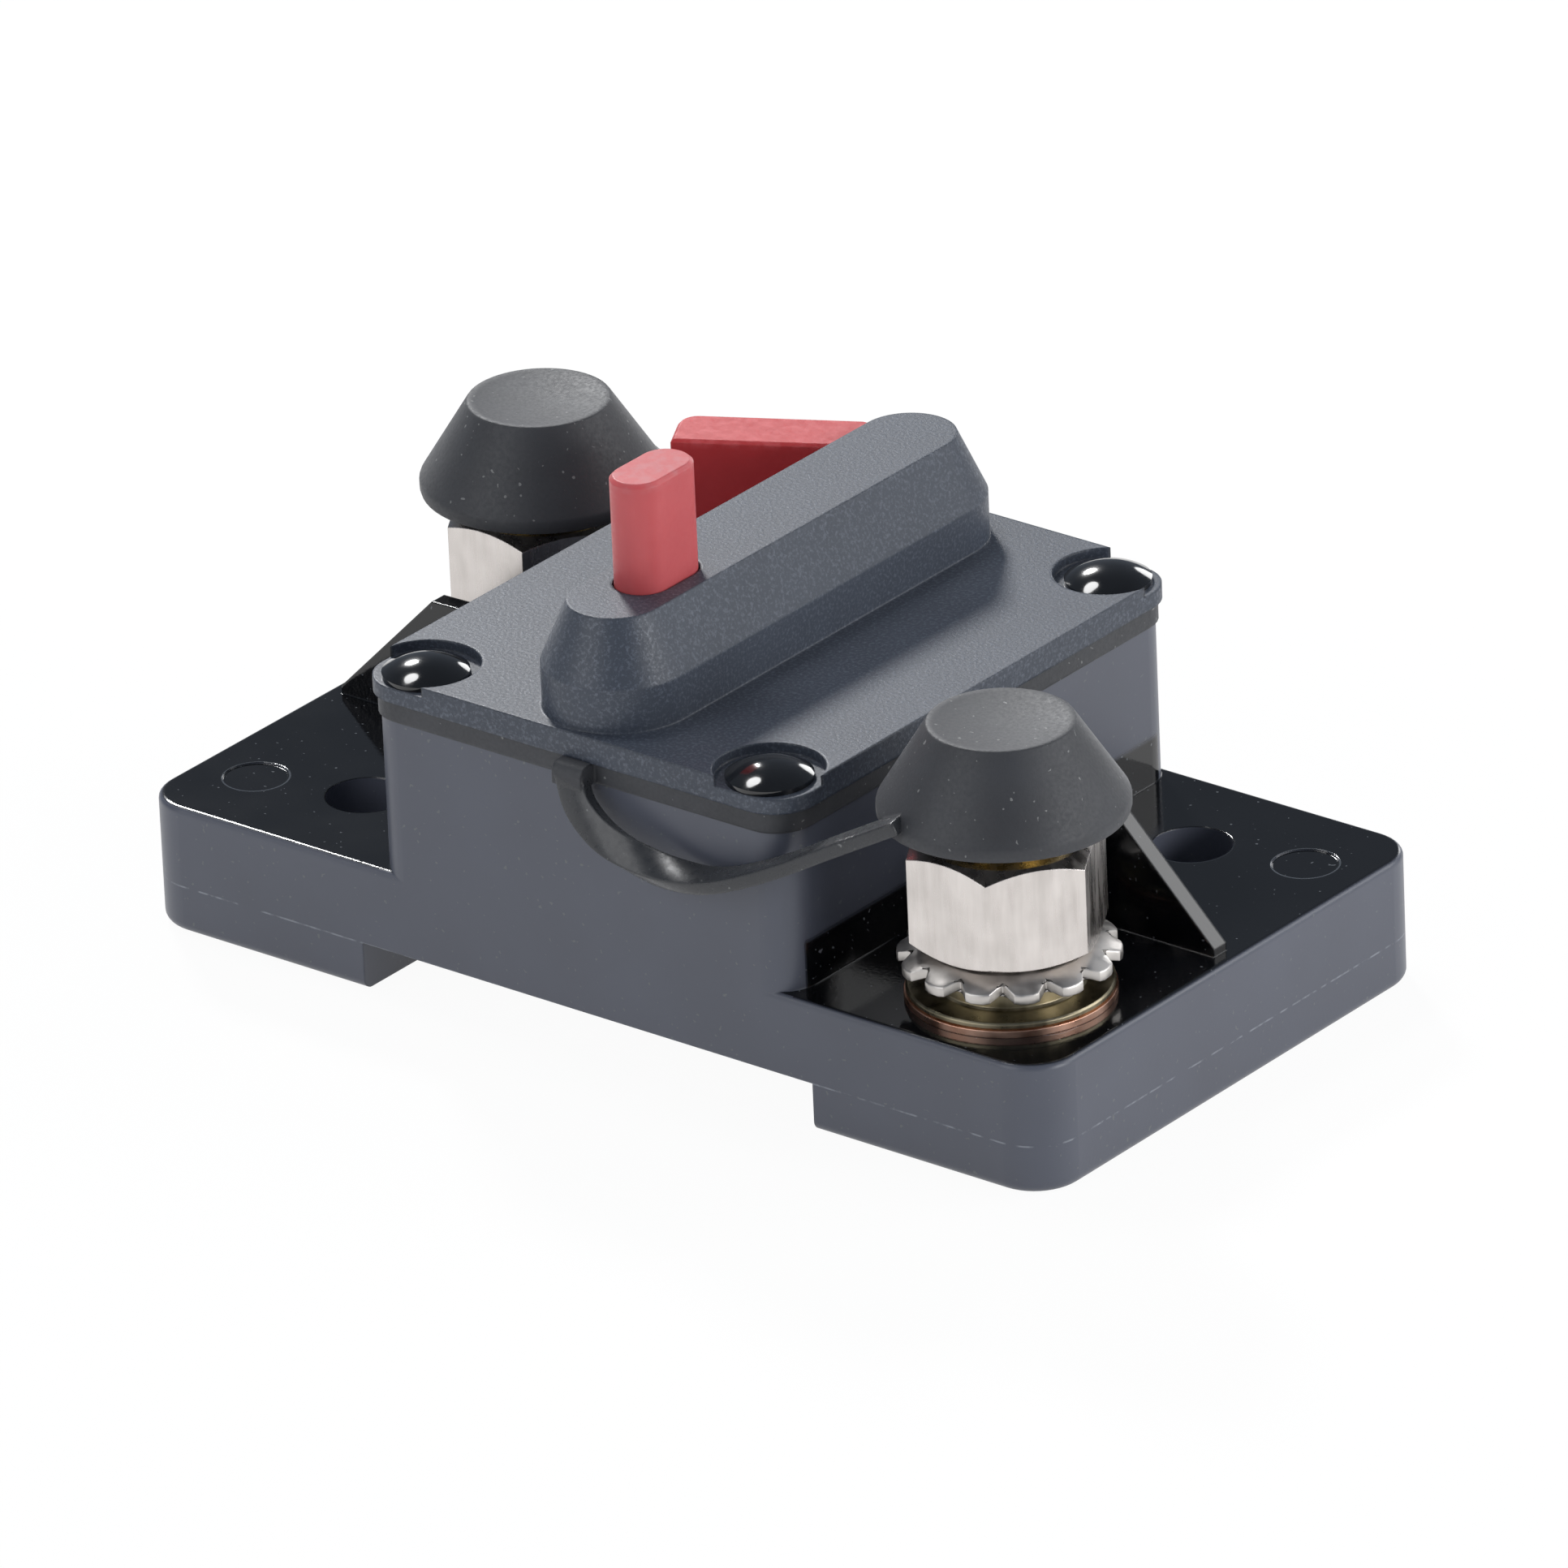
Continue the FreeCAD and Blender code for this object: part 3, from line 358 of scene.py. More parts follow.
# Metals. Each has two tones, a range of roughness, the size of its marks and how far they are
# drawn out along each axis.
metals = {
    # bright zinc plate on cold formed steel, faint marks that run up the flats
    "brightZinc": ("#cbc5c1", "#e2dcd8", 0.22, 0.34, 0.8, (1, 1, 0.15)),
    # zinc plate on stamped spring steel, satin
    "satinZinc": ("#bab6b2", "#d6d2ce", 0.34, 0.48, 1.2, (1, 1, 1)),
    # turned phosphor bronze, dulled to olive by handling
    "dullBronze": ("#888069", "#aca28a", 0.26, 0.40, 1.0, (1, 1, 0.2)),
    # rolled copper sheet, a little pink where it is rubbed bright
    "rolledCopper": ("#c6937c", "#e6bda8", 0.24, 0.40, 1.5, (1, 1, 1)),
    # rolled brass thread, rubbed bright on its crests
    "rolledBrass": ("#9c8a5c", "#c9b67f", 0.2, 0.34, 0.8, (1, 1, 0.3)),
    # plain ground steel
    "groundSteel": ("#a9abad", "#c2c3c4", 0.28, 0.40, 1.5, (1, 1, 1)),
    # pressed silver of the contacts, nearly white
    "pressedSilver": ("#d9d7d2", "#eceae6", 0.2, 0.32, 1.5, (1, 1, 1)),
    # drawn spring wire, grey
    "drawnWire": ("#8c8f92", "#a6a8aa", 0.25, 0.38, 1.5, (1, 1, 1)),
    # rolled bimetal sheet, warm grey
    "rolledBimetal": ("#9d9a90", "#b4b0a2", 0.3, 0.42, 1.5, (0.2, 1, 1)),
}
# Every metal also has larger, fainter clouds of tone and slightly broken edges
metalSurface = {
    "cloudMm": 3.5, "shareFrom": 0.7, "shareTo": 1.3, "edgeMm": 0.12,
    "bumpStrength": 0.1, "bumpMm": 0.04,
}


def bareMetal(name):
    s = metalSurface
    low, high, roughLow, roughHigh, marksMm, stretch = metals[name]
    material, tree, place = startMaterial(name)
    drawn = addNode(tree, "ShaderNodeMapping", {"Scale": stretch}, {"Vector": place})
    marks = addNode(tree, "ShaderNodeTexNoise", {"Scale": 1 / (marksMm * mm)},
                    {"Vector": drawn.outputs[0]})
    cloud = addNode(tree, "ShaderNodeTexNoise", {"Scale": 1 / (s["cloudMm"] * mm)}, {"Vector": place})
    both = addNode(tree, "ShaderNodeMath", {"operation": "ADD"},
                   {0: marks.outputs["Fac"], 1: cloud.outputs["Fac"]})
    share = addNode(tree, "ShaderNodeMapRange", {"From Min": s["shareFrom"], "From Max": s["shareTo"]},
                    {"Value": both.outputs[0]})
    colour = addNode(tree, "ShaderNodeMix", {"data_type": "RGBA", 6: low, 7: high},
                     {0: share.outputs[0]})
    roughness = addNode(tree, "ShaderNodeMapRange",
                        {**noiseSpread, "To Min": roughLow, "To Max": roughHigh},
                        {"Value": marks.outputs["Fac"]})
    soft = addNode(tree, "ShaderNodeBevel", {"samples": edgeSamples, "Radius": s["edgeMm"] * mm})
    normal = addNode(tree, "ShaderNodeBump",
                     {"Strength": s["bumpStrength"], "Distance": s["bumpMm"] * mm},
                     {"Height": marks.outputs["Fac"], "Normal": soft.outputs[0]})
    shader = addNode(tree, "ShaderNodeBsdfPrincipled", {"Metallic": 1.0},
                     {"Base Color": colour.outputs[2], "Roughness": roughness.outputs[0],
                      "Normal": normal.outputs[0]})
    closeMaterial(tree, shader)
    return material


# Moulded acetal in signal red: waxy, and paler in patches over the top
redSurface = {
    "cloudMm": 3.0, "fleckMm": 0.9, "grainMm": 0.4, "roughLow": 0.36, "roughHigh": 0.5, "edgeMm": 0.2,
    "paleDepth": 0.6, "fleckFrom": 0.42, "fleckTo": 0.66, "fleckShare": 0.8,
    "bumpStrength": 0.15, "bumpMm": 0.05,
}
# the top of each piece is paler in patches above a given height
buttonRed = {**redSurface, "low": "#bb4c50", "high": "#c8595c", "paleTop": "#bf696c", "paleAbove": 46.65}
leverRed = {**redSurface, "low": "#b02a2e", "high": "#c43b3e", "paleTop": "#c85053", "paleAbove": 36.2}


def redAcetal(name, s):
    material, tree, place = startMaterial(name)
    axes = addNode(tree, "ShaderNodeSeparateXYZ", {}, {"Vector": place})
    cloud = addNode(tree, "ShaderNodeTexNoise", {"Scale": 1 / (s["cloudMm"] * mm)}, {"Vector": place})
    colour = addNode(tree, "ShaderNodeMix", {"data_type": "RGBA", 6: s["low"], 7: s["high"]},
                     {0: cloud.outputs["Fac"]})
    # the top, above a given height, is painted paler in patches
    patches = addNode(tree, "ShaderNodeMapRange",
                   {"From Min": s["paleAbove"] * mm, "From Max": (s["paleAbove"] + s["paleDepth"]) * mm},
                   {"Value": axes.outputs["Z"]})
    flecks = addNode(tree, "ShaderNodeTexNoise", {"Scale": 1 / (s["fleckMm"] * mm)}, {"Vector": place})
    flecks = addNode(tree, "ShaderNodeMapRange",
                     {"From Min": s["fleckFrom"], "From Max": s["fleckTo"], "To Max": s["fleckShare"]},
                     {"Value": flecks.outputs["Fac"]})
    patches = addNode(tree, "ShaderNodeMath", {"operation": "MULTIPLY"},
                   {0: patches.outputs[0], 1: flecks.outputs[0]})
    colour = addNode(tree, "ShaderNodeMix", {"data_type": "RGBA", 7: s["paleTop"]},
                     {0: patches.outputs[0], 6: colour.outputs[2]})
    grain = addNode(tree, "ShaderNodeTexNoise", {"Scale": 1 / (s["grainMm"] * mm)}, {"Vector": place})
    roughness = addNode(tree, "ShaderNodeMapRange",
                        {**noiseSpread, "To Min": s["roughLow"], "To Max": s["roughHigh"]},
                        {"Value": grain.outputs["Fac"]})
    soft = addNode(tree, "ShaderNodeBevel", {"samples": edgeSamples, "Radius": s["edgeMm"] * mm})
    normal = addNode(tree, "ShaderNodeBump",
                     {"Strength": s["bumpStrength"], "Distance": s["bumpMm"] * mm},
                     {"Height": grain.outputs["Fac"], "Normal": soft.outputs[0]})
    shader = addNode(tree, "ShaderNodeBsdfPrincipled",
                     {"IOR": 1.48, "Subsurface Weight": 0.12, "Subsurface Scale": 0.0015},
                     {"Base Color": colour.outputs[2], "Roughness": roughness.outputs[0],
                      "Normal": normal.outputs[0]})
    closeMaterial(tree, shader)
    return material


def coatNodes(material, *names):
    for name in names:
        data = nodes[name].data
        if not data.materials:
            data.materials.append(material)
        for i in range(len(data.materials)):
            data.materials[i] = material


finishes = {name: bareMetal(name) for name in metals}
rubber = softBlack("epdmRubber", epdm)
shinyRubber = softBlack("polishedEpdmRubber", strapRubber)
coatNodes(phenolicMoulding(), "housing")
coatNodes(texturedNylon(), "lid")
coatNodes(rubber, "gasket_with_stud_caps", "button_seal", "shaft_seal")
coatNodes(softBlack("blackAcetal", acetal), "reset_cam")
coatNodes(blackLacquer(), "lid_rivets")
coatNodes(redAcetal("redAcetalButton", buttonRed), "trip_button")
coatNodes(redAcetal("redAcetalLever", leverRed), "reset_lever")
coatNodes(finishes["brightZinc"], "terminal_nuts")
coatNodes(finishes["satinZinc"], "star_washers")
coatNodes(finishes["dullBronze"], "terminal_bushes")
coatNodes(finishes["rolledCopper"], "flat_washers", "line_terminal_bar", "load_terminal_bar",
          "contact_arm", "arm_bracket")
coatNodes(finishes["rolledBrass"], "terminal_studs", "bracket_rivets", "bimetal_rivets")
coatNodes(finishes["groundSteel"], "arm_pivot_pin", "bimetal_clamp", "button_retainer", "lever_shaft")
coatNodes(finishes["pressedSilver"], "fixed_contact", "moving_contact")
coatNodes(finishes["drawnWire"], "arm_spring", "button_spring", "lever_spring")
coatNodes(finishes["rolledBimetal"], "bimetal_strip")
print("materials assigned")


# Shared steps of the modelled pieces: points nearer than these are merged, along a profile or
# at the seam of a screw, and an edge that turns by more than the sharp angle is rounded
mergeGap = 0.002 * mm
seamGap = 0.004 * mm
sharpAngle = math.radians(50)


# Leaves the piece in edit mode, with those vertices selected whose place in mm passes the test
def selectVertices(piece, test):
    bpy.ops.object.mode_set(mode="EDIT")
    bpy.ops.mesh.select_mode(type="VERT")
    bpy.ops.mesh.select_all(action="DESELECT")
    bpy.ops.object.mode_set(mode="OBJECT")
    for vertex in piece.data.vertices:
        vertex.select = test(vertex.co / mm)
    bpy.ops.object.mode_set(mode="EDIT")


# A turned piece: a circle is extruded through the steps of a profile, each a radius and a
# height in mm, and then joined to its start or filled at both ends.
def turnPiece(name, centre, profile, closed=True, sides=64):
    x, y = centre[0] * mm, centre[1] * mm
    bpy.ops.object.select_all(action="DESELECT")
    r, z = profile[0]
    bpy.ops.mesh.primitive_circle_add(vertices=sides, radius=r * mm, location=(x, y, z * mm))
    piece = bpy.context.active_object
    piece.name = name
    bpy.ops.object.transform_apply(location=True, rotation=True, scale=True)
    bpy.ops.object.mode_set(mode="EDIT")
    bpy.ops.mesh.select_all(action="SELECT")
    steps = profile[1:] + (profile[:1] if closed else [])
    for nextR, nextZ in steps:
        bpy.ops.mesh.extrude_region_move(TRANSFORM_OT_translate={"value": (0, 0, (nextZ - z) * mm)})
        ratio = nextR / r
        bpy.ops.transform.resize(value=(ratio, ratio, 1), center_override=(x, y, nextZ * mm))
        r, z = nextR, nextZ
    bpy.ops.mesh.select_all(action="SELECT")
    bpy.ops.mesh.remove_doubles(threshold=mergeGap)
    if not closed:
        bpy.ops.mesh.fill_holes(sides=0)
        bpy.ops.mesh.select_all(action="SELECT")
    bpy.ops.mesh.normals_make_consistent(inside=False)
    bpy.ops.object.mode_set(mode="OBJECT")
    return piece


def joinPieces(pieces, name):
    bpy.ops.object.select_all(action="DESELECT")
    for piece in pieces:
        piece.select_set(True)
    bpy.context.view_layer.objects.active = pieces[0]
    bpy.ops.object.join()
    pieces[0].name = name
    pieces[0].data.name = name
    return pieces[0]


def finishPiece(piece, material, slotName, angle, *standsFor):
    bpy.ops.object.select_all(action="DESELECT")
    piece.select_set(True)
    bpy.context.view_layer.objects.active = piece
    bpy.ops.object.shade_smooth_by_angle(angle=math.radians(angle))
    if not piece.data.materials:
        piece.data.materials.append(material)
    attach(piece, "root")
    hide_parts(*standsFor)


# Terminal studs: 3/8-16 thread, so 1.5875 mm pitch, on a hexagon head held in the base
stud = {
    "places": [(34.8, -14.4), (-34.8, 14.4)],
    "rootR": 3.82, "crestR": 4.76, "pitch": 1.5875, "crest": 0.2, "bottom": 5.9, "top": 32.7,
    "headFlats": 13.0, "headBottom": 3.2, "headTop": 6.2,
    # the thread is wound longer than the stud and starts below it, then both ends are cut off
    "steps": 32, "spareTurns": 2, "startTurns": 1.5,
}


def threadedStud(centre):
    s = stud
    x, y = centre[0] * mm, centre[1] * mm
    depth = s["crestR"] - s["rootR"]
    bpy.ops.object.select_all(action="DESELECT")
    bpy.ops.mesh.primitive_plane_add(size=1, rotation=(math.radians(90), 0, 0),
                                     location=((s["rootR"] + depth / 2) * mm, 0, s["pitch"] / 2 * mm))
    piece = bpy.context.active_object
    piece.scale = (depth * mm, s["pitch"] * mm, 1)
    bpy.ops.object.transform_apply(location=True, rotation=True, scale=True)
    middle = s["rootR"] + depth / 2
    selectVertices(piece, lambda v: v.x > middle)
    bpy.ops.transform.resize(value=(1, 1, s["crest"]),
                             center_override=(middle * mm, 0, s["pitch"] / 2 * mm))
    selectVertices(piece, lambda v: v.x < middle)
    bpy.ops.mesh.select_mode(type="EDGE")
    bpy.ops.mesh.delete(type="EDGE")
    bpy.ops.object.mode_set(mode="OBJECT")
    turn = piece.modifiers.new("thread", "SCREW")
    turn.axis = "Z"
    turn.steps = s["steps"]
    turn.render_steps = s["steps"]
    turn.screw_offset = s["pitch"] * mm
    turn.iterations = math.ceil((s["top"] - s["bottom"]) / s["pitch"]) + s["spareTurns"]
    turn.use_merge_vertices = True
    turn.merge_threshold = mergeGap
    bpy.ops.object.modifier_apply(modifier="thread")
    bpy.ops.object.mode_set(mode="EDIT")
    bpy.ops.mesh.select_all(action="SELECT")
    bpy.ops.mesh.remove_doubles(threshold=seamGap)
    bpy.ops.transform.translate(value=(x, y, (s["bottom"] - s["startTurns"] * s["pitch"]) * mm))
    for height, outer in ((s["top"], True), (s["bottom"], False)):
        bpy.ops.mesh.select_all(action="SELECT")
        bpy.ops.mesh.bisect(plane_co=(x, y, height * mm), plane_no=(0, 0, 1), use_fill=True,
                            clear_outer=outer, clear_inner=not outer)
    bpy.ops.mesh.select_all(action="SELECT")
    bpy.ops.mesh.normals_make_consistent(inside=False)
    bpy.ops.object.mode_set(mode="OBJECT")
    bpy.ops.object.select_all(action="DESELECT")
    height = s["headTop"] - s["headBottom"]
    bpy.ops.mesh.primitive_cylinder_add(vertices=6, radius=s["headFlats"] / math.sqrt(3) * mm,
                                        depth=height * mm,
                                        location=(x, y, (s["headBottom"] + height / 2) * mm))
    head = bpy.context.active_object
    bpy.ops.object.transform_apply(location=True, rotation=True, scale=True)
    return [piece, head]


studs = joinPieces([part for centre in stud["places"] for part in threadedStud(centre)],
                   "threadedStuds")
finishPiece(studs, finishes["rolledBrass"], "bronze", 30, "terminal_studs")
print("studs threaded")

# Bushes: a turned sleeve with a thin flange that stands on the flat washer
bush = {
    "boreR": 4.8, "hubR": 5.9, "flangeR": 8.3, "bottom": 11.8, "flangeTop": 12.4, "top": 15.28,
    "edge": 0.15, "foot": 0.2,
}
bushProfile = [
    (bush["boreR"], bush["bottom"]),
    (bush["flangeR"] - bush["edge"], bush["bottom"]),
    (bush["flangeR"], bush["bottom"] + bush["edge"]),
    (bush["flangeR"], bush["flangeTop"] - bush["edge"]),
    (bush["flangeR"] - bush["edge"], bush["flangeTop"]),
    (bush["hubR"] + bush["foot"], bush["flangeTop"]),
    (bush["hubR"], bush["flangeTop"] + bush["foot"]),
    (bush["hubR"], bush["top"]),
    (bush["boreR"], bush["top"]),
]
bushes = joinPieces([turnPiece("bush", c, bushProfile) for c in stud["places"]], "turnedBushes")
finishPiece(bushes, finishes["dullBronze"], "bronze", 30, "terminal_bushes")
print("bushes turned")

# Lock washers: stamped from 0.8 mm sheet, a flat ring under the nut and a sloping skirt that
# notches divide into rounded lobes
lockWasher = {
    "innerR": 5.0, "bendR": 6.4, "midR": 7.9, "outerR": 8.9, "top": 16.08, "thickness": 0.8,
    "drop": 22.0, "lobes": 14, "perLobe": 8, "turn": -5.0, "edge": 0.1,
    "notchDepths": {0: 1.25, 1: 0.7, 7: 0.7, 2: 0.12, 6: 0.12},
}


def lobedWasher(centre):
    s = lockWasher
    fall = math.tan(math.radians(s["drop"]))
    low = s["thickness"] / math.cos(math.radians(s["drop"]))
    outer = [(r, s["top"] - (r - s["bendR"]) * fall) for r in (s["midR"], s["outerR"])]
    under = [(r, z - low) for r, z in reversed(outer)]
    profile = [(s["innerR"], s["top"]), (s["bendR"], s["top"]), *outer, *under,
               (s["bendR"], s["top"] - s["thickness"]), (s["innerR"], s["top"] - s["thickness"])]
    count = s["lobes"] * s["perLobe"]
    piece = turnPiece("lockWasher", centre, profile, sides=count)
    x, y = centre
    for step, depth in s["notchDepths"].items():
        def inNotch(v, step=step):
            angle = math.degrees(math.atan2(v.y - y, v.x - x))
            away = math.hypot(v.x - x, v.y - y)
            return away > s["outerR"] - 0.05 and round(angle * count / 360) % s["perLobe"] == step
        selectVertices(piece, inNotch)
        ratio = 1 - depth / s["outerR"]
        bpy.ops.transform.resize(value=(ratio, ratio, 1),
                                 center_override=(x * mm, y * mm, s["top"] * mm))
        bpy.ops.transform.translate(value=(0, 0, depth * fall * mm))
    bpy.ops.mesh.select_all(action="SELECT")
    bpy.ops.transform.rotate(value=-math.radians(s["turn"]), orient_axis="Z",
                             center_override=(x * mm, y * mm, 0))
    bpy.ops.object.mode_set(mode="OBJECT")
    edges = piece.modifiers.new("edges", "BEVEL")
    edges.width = s["edge"] * mm
    edges.segments = 2
    edges.limit_method = "ANGLE"
    edges.angle_limit = sharpAngle
    bpy.ops.object.modifier_apply(modifier="edges")
    return piece


washers = joinPieces([lobedWasher(centre) for centre in stud["places"]], "lobedWashers")
finishPiece(washers, finishes["satinZinc"], "zinc_washer", 35, "star_washers")
print("lock washers stamped")

# Rubber moulding: a flat gasket under the lid and, from a tab on each long side, a flat strap
# that hangs in a loop with a quarter turn in it and carries a cap for the stud
moulding = {
    "halfX": 21.45, "halfY": 25.25, "bottom": 25.1, "top": 26.9, "cornerR": 3.25, "ring": 4.0,
    "tabX": 0.9, "tabWidth": 2.9, "tabReach": 1.8, "tabRound": 0.9,
    "tabUnderLid": 2.0, "tabPastStrap": 0.3, "strapEdge": 0.16, "roundSegments": 8,
    "capProfile": [
        (4.8, 33.3), (4.8, 28.4), (8.4, 28.4), (8.4, 27.0), (9.6, 27.0), (9.95, 27.12), (10.05, 27.45),
        (10.05, 28.1), (9.98, 28.3), (6.02, 34.6), (5.9, 34.76), (5.7, 34.8), (5.3, 34.74),
        (4.0, 34.58), (2.2, 34.46), (0.6, 34.4),
    ],
    "farDrop": 0.5, "width": 2.5, "thickness": 1.1, "endAngle": -108.0, "endR": 9.65, "lean": 15.0,
    "straps": [{"endZ": 28.7, "sag": 6.8}, {"endZ": 26.7, "sag": 11.0}],
    # place along the span, share of the sag and twist in degrees
    "stations": [
        (0.0, 0.0, 90), (0.03, 0.36, 90), (0.105, 0.68, 82), (0.21, 0.88, 63), (0.33, 1.0, 40),
        (0.46, 0.99, 22), (0.63, 0.745, 17), (0.815, 0.37, 17), (1.0, 0.0, 17),
    ],
    "between": 5,
}


# Adds points between the stations, on a curve that passes smoothly through each of them
def smoothStations(stations, between):
    smooth = []
    padded = [stations[0], *stations, stations[-1]]
    for a, b, c, d in zip(padded, padded[1:], padded[2:], padded[3:]):
        for i in range(between):
            t = i / between
            smooth.append([0.5 * (2 * q + (r - p) * t + (2 * p - 5 * q + 4 * r - w) * t * t
                                  + (3 * q - p - 3 * r + w) * t ** 3)
                           for p, q, r, w in zip(a, b, c, d)])
    return smooth + [list(stations[-1])]


def makeStrap(shape):
    s = moulding
    x, y = stud["places"][0]
    angle = math.radians(s["endAngle"])
    rootY = (s["thickness"] + s["tabPastStrap"]) / 2 - s["halfY"] - s["tabReach"]
    root = Vector((s["tabX"], rootY, (s["bottom"] + s["top"]) / 2))
    end = Vector((x + s["endR"] * math.cos(angle), y + s["endR"] * math.sin(angle), shape["endZ"]))
    along = (end - root).normalized()
    normal = along.cross(Vector((0, 0, -1))).normalized()
    normal = Matrix.Rotation(math.radians(-s["lean"]), 3, along) @ normal
    down = normal.cross(along)
    stations = smoothStations(s["stations"], s["between"])
    span = (end - root).length
    route = [root + along * (span * a) + down * (shape["sag"] * d) for a, d, _ in stations]
    headings = [Vector((0, 0, -1))]
    headings += [b - a for a, b in zip(route, route[2:])]
    headings.append(route[-1] - route[-2])
    bpy.ops.object.select_all(action="DESELECT")
    bpy.ops.mesh.primitive_cube_add(size=1)
    piece = bpy.context.active_object
    bpy.ops.object.mode_set(mode="EDIT")
    bpy.ops.mesh.select_all(action="DESELECT")
    bpy.ops.mesh.select_mode(type="EDGE")
    bpy.ops.object.mode_set(mode="OBJECT")
    for edge in piece.data.edges:
        ends = [piece.data.vertices[i].co.x for i in edge.vertices]
        edge.select = abs(ends[0] - ends[1]) > 0.5
    bpy.ops.object.mode_set(mode="EDIT")
    bpy.ops.mesh.subdivide(number_cuts=len(route) - 2)
    bpy.ops.object.mode_set(mode="OBJECT")
    for vertex in piece.data.vertices:
        i = round((vertex.co.x + 0.5) * (len(route) - 1))
        ahead = headings[i].normalized()
        across = (normal - ahead * normal.dot(ahead)).normalized()
        across = Matrix.Rotation(math.radians(stations[i][2]), 3, ahead) @ across
        thick = ahead.cross(across)
        beside = route[i] + across * (vertex.co.y * s["width"])
        vertex.co = (beside + thick * (vertex.co.z * s["thickness"])) * mm
    edges = piece.modifiers.new("edges", "BEVEL")
    edges.width = s["strapEdge"] * mm
    edges.segments = 2
    edges.limit_method = "ANGLE"
    edges.angle_limit = sharpAngle
    bpy.ops.object.modifier_apply(modifier="edges")
    bpy.ops.object.mode_set(mode="EDIT")
    bpy.ops.mesh.select_all(action="SELECT")
    bpy.ops.mesh.normals_make_consistent(inside=False)
    bpy.ops.object.mode_set(mode="OBJECT")
    return piece


def makeTab():
    s = moulding
    depth = s["tabReach"] + s["tabUnderLid"]
    size = (s["tabWidth"] * mm, depth * mm, (s["top"] - s["bottom"]) * mm)
    place = (s["tabX"] * mm, (-s["halfY"] - s["tabReach"] + depth / 2) * mm,
             (s["top"] + s["bottom"]) / 2 * mm)
    bpy.ops.object.select_all(action="DESELECT")
    bpy.ops.mesh.primitive_cube_add(size=1, location=place)
    piece = bpy.context.active_object
    piece.scale = size
    bpy.ops.object.transform_apply(location=True, rotation=True, scale=True)
    outer = -s["halfY"] - s["tabReach"]
    selectVertices(piece, lambda v: v.y < outer + 0.1 and v.z > s["top"] - 0.1)
    bpy.ops.mesh.select_mode(type="EDGE")
    bpy.ops.mesh.bevel(offset=s["tabRound"] * mm, segments=s["roundSegments"])
    bpy.ops.object.mode_set(mode="OBJECT")
    return piece


def makeGasket():
    s = moulding
    bpy.ops.object.select_all(action="DESELECT")
    bpy.ops.mesh.primitive_plane_add(size=1, location=(0, 0, s["bottom"] * mm))
    piece = bpy.context.active_object
    piece.scale = (2 * s["halfX"] * mm, 2 * s["halfY"] * mm, 1)
    bpy.ops.object.transform_apply(location=True, rotation=True, scale=True)
    bpy.ops.object.mode_set(mode="EDIT")
    bpy.ops.mesh.select_all(action="SELECT")
    bpy.ops.mesh.bevel(offset=s["cornerR"] * mm, segments=s["roundSegments"], affect="VERTICES")
    bpy.ops.mesh.select_mode(type="FACE")
    bpy.ops.mesh.select_all(action="SELECT")
    bpy.ops.mesh.inset(thickness=s["ring"] * mm)
    bpy.ops.mesh.delete(type="FACE")
    bpy.ops.mesh.select_all(action="SELECT")
    rise = (s["top"] - s["bottom"]) * mm
    bpy.ops.mesh.extrude_region_move(TRANSFORM_OT_translate={"value": (0, 0, rise)})
    bpy.ops.mesh.select_all(action="SELECT")
    bpy.ops.mesh.normals_make_consistent(inside=False)
    bpy.ops.object.mode_set(mode="OBJECT")
    return piece


def halfTurn(piece, drop=0.0):
    bpy.ops.object.select_all(action="DESELECT")
    piece.select_set(True)
    bpy.context.view_layer.objects.active = piece
    bpy.ops.object.mode_set(mode="EDIT")
    bpy.ops.mesh.select_all(action="SELECT")
    bpy.ops.transform.rotate(value=math.pi, orient_axis="Z", center_override=(0, 0, 0))
    bpy.ops.transform.translate(value=(0, 0, -drop * mm))
    bpy.ops.object.mode_set(mode="OBJECT")
    return piece


nearPlace = stud["places"][0]
straps = [makeStrap(moulding["straps"][0]), halfTurn(makeStrap(moulding["straps"][1]))]
rubberParts = [
    makeGasket(), makeTab(), halfTurn(makeTab()),
    turnPiece("cap", nearPlace, moulding["capProfile"], closed=False),
    halfTurn(turnPiece("cap", nearPlace, moulding["capProfile"], closed=False), moulding["farDrop"]),
]
for part in rubberParts:
    part.data.materials.append(rubber)
for part in straps:
    part.data.materials.append(shinyRubber)
caps = joinPieces(rubberParts + straps, "strappedCaps")
finishPiece(caps, rubber, "rubber_black", 35, "gasket_with_stud_caps")
print("rubber moulding shaped")

# Coil springs: each is a ring swept up a helix
coilSides = 12
coilSteps = 32
springs = {
    "button_spring": {
        "centre": (0, -13.675), "coilR": 2.45, "wireR": 0.35, "turns": 3, "bottom": 27.9, "top": 34.1,
        "joint": "button_press", "keep": 0.355,
    },
    "arm_spring": {
        "centre": (0, 0), "coilR": 2.2, "wireR": 0.3, "turns": 4, "bottom": 6.2, "top": 13.7,
        "joint": "contact_arm_turn", "keep": 0.8,
    },
}


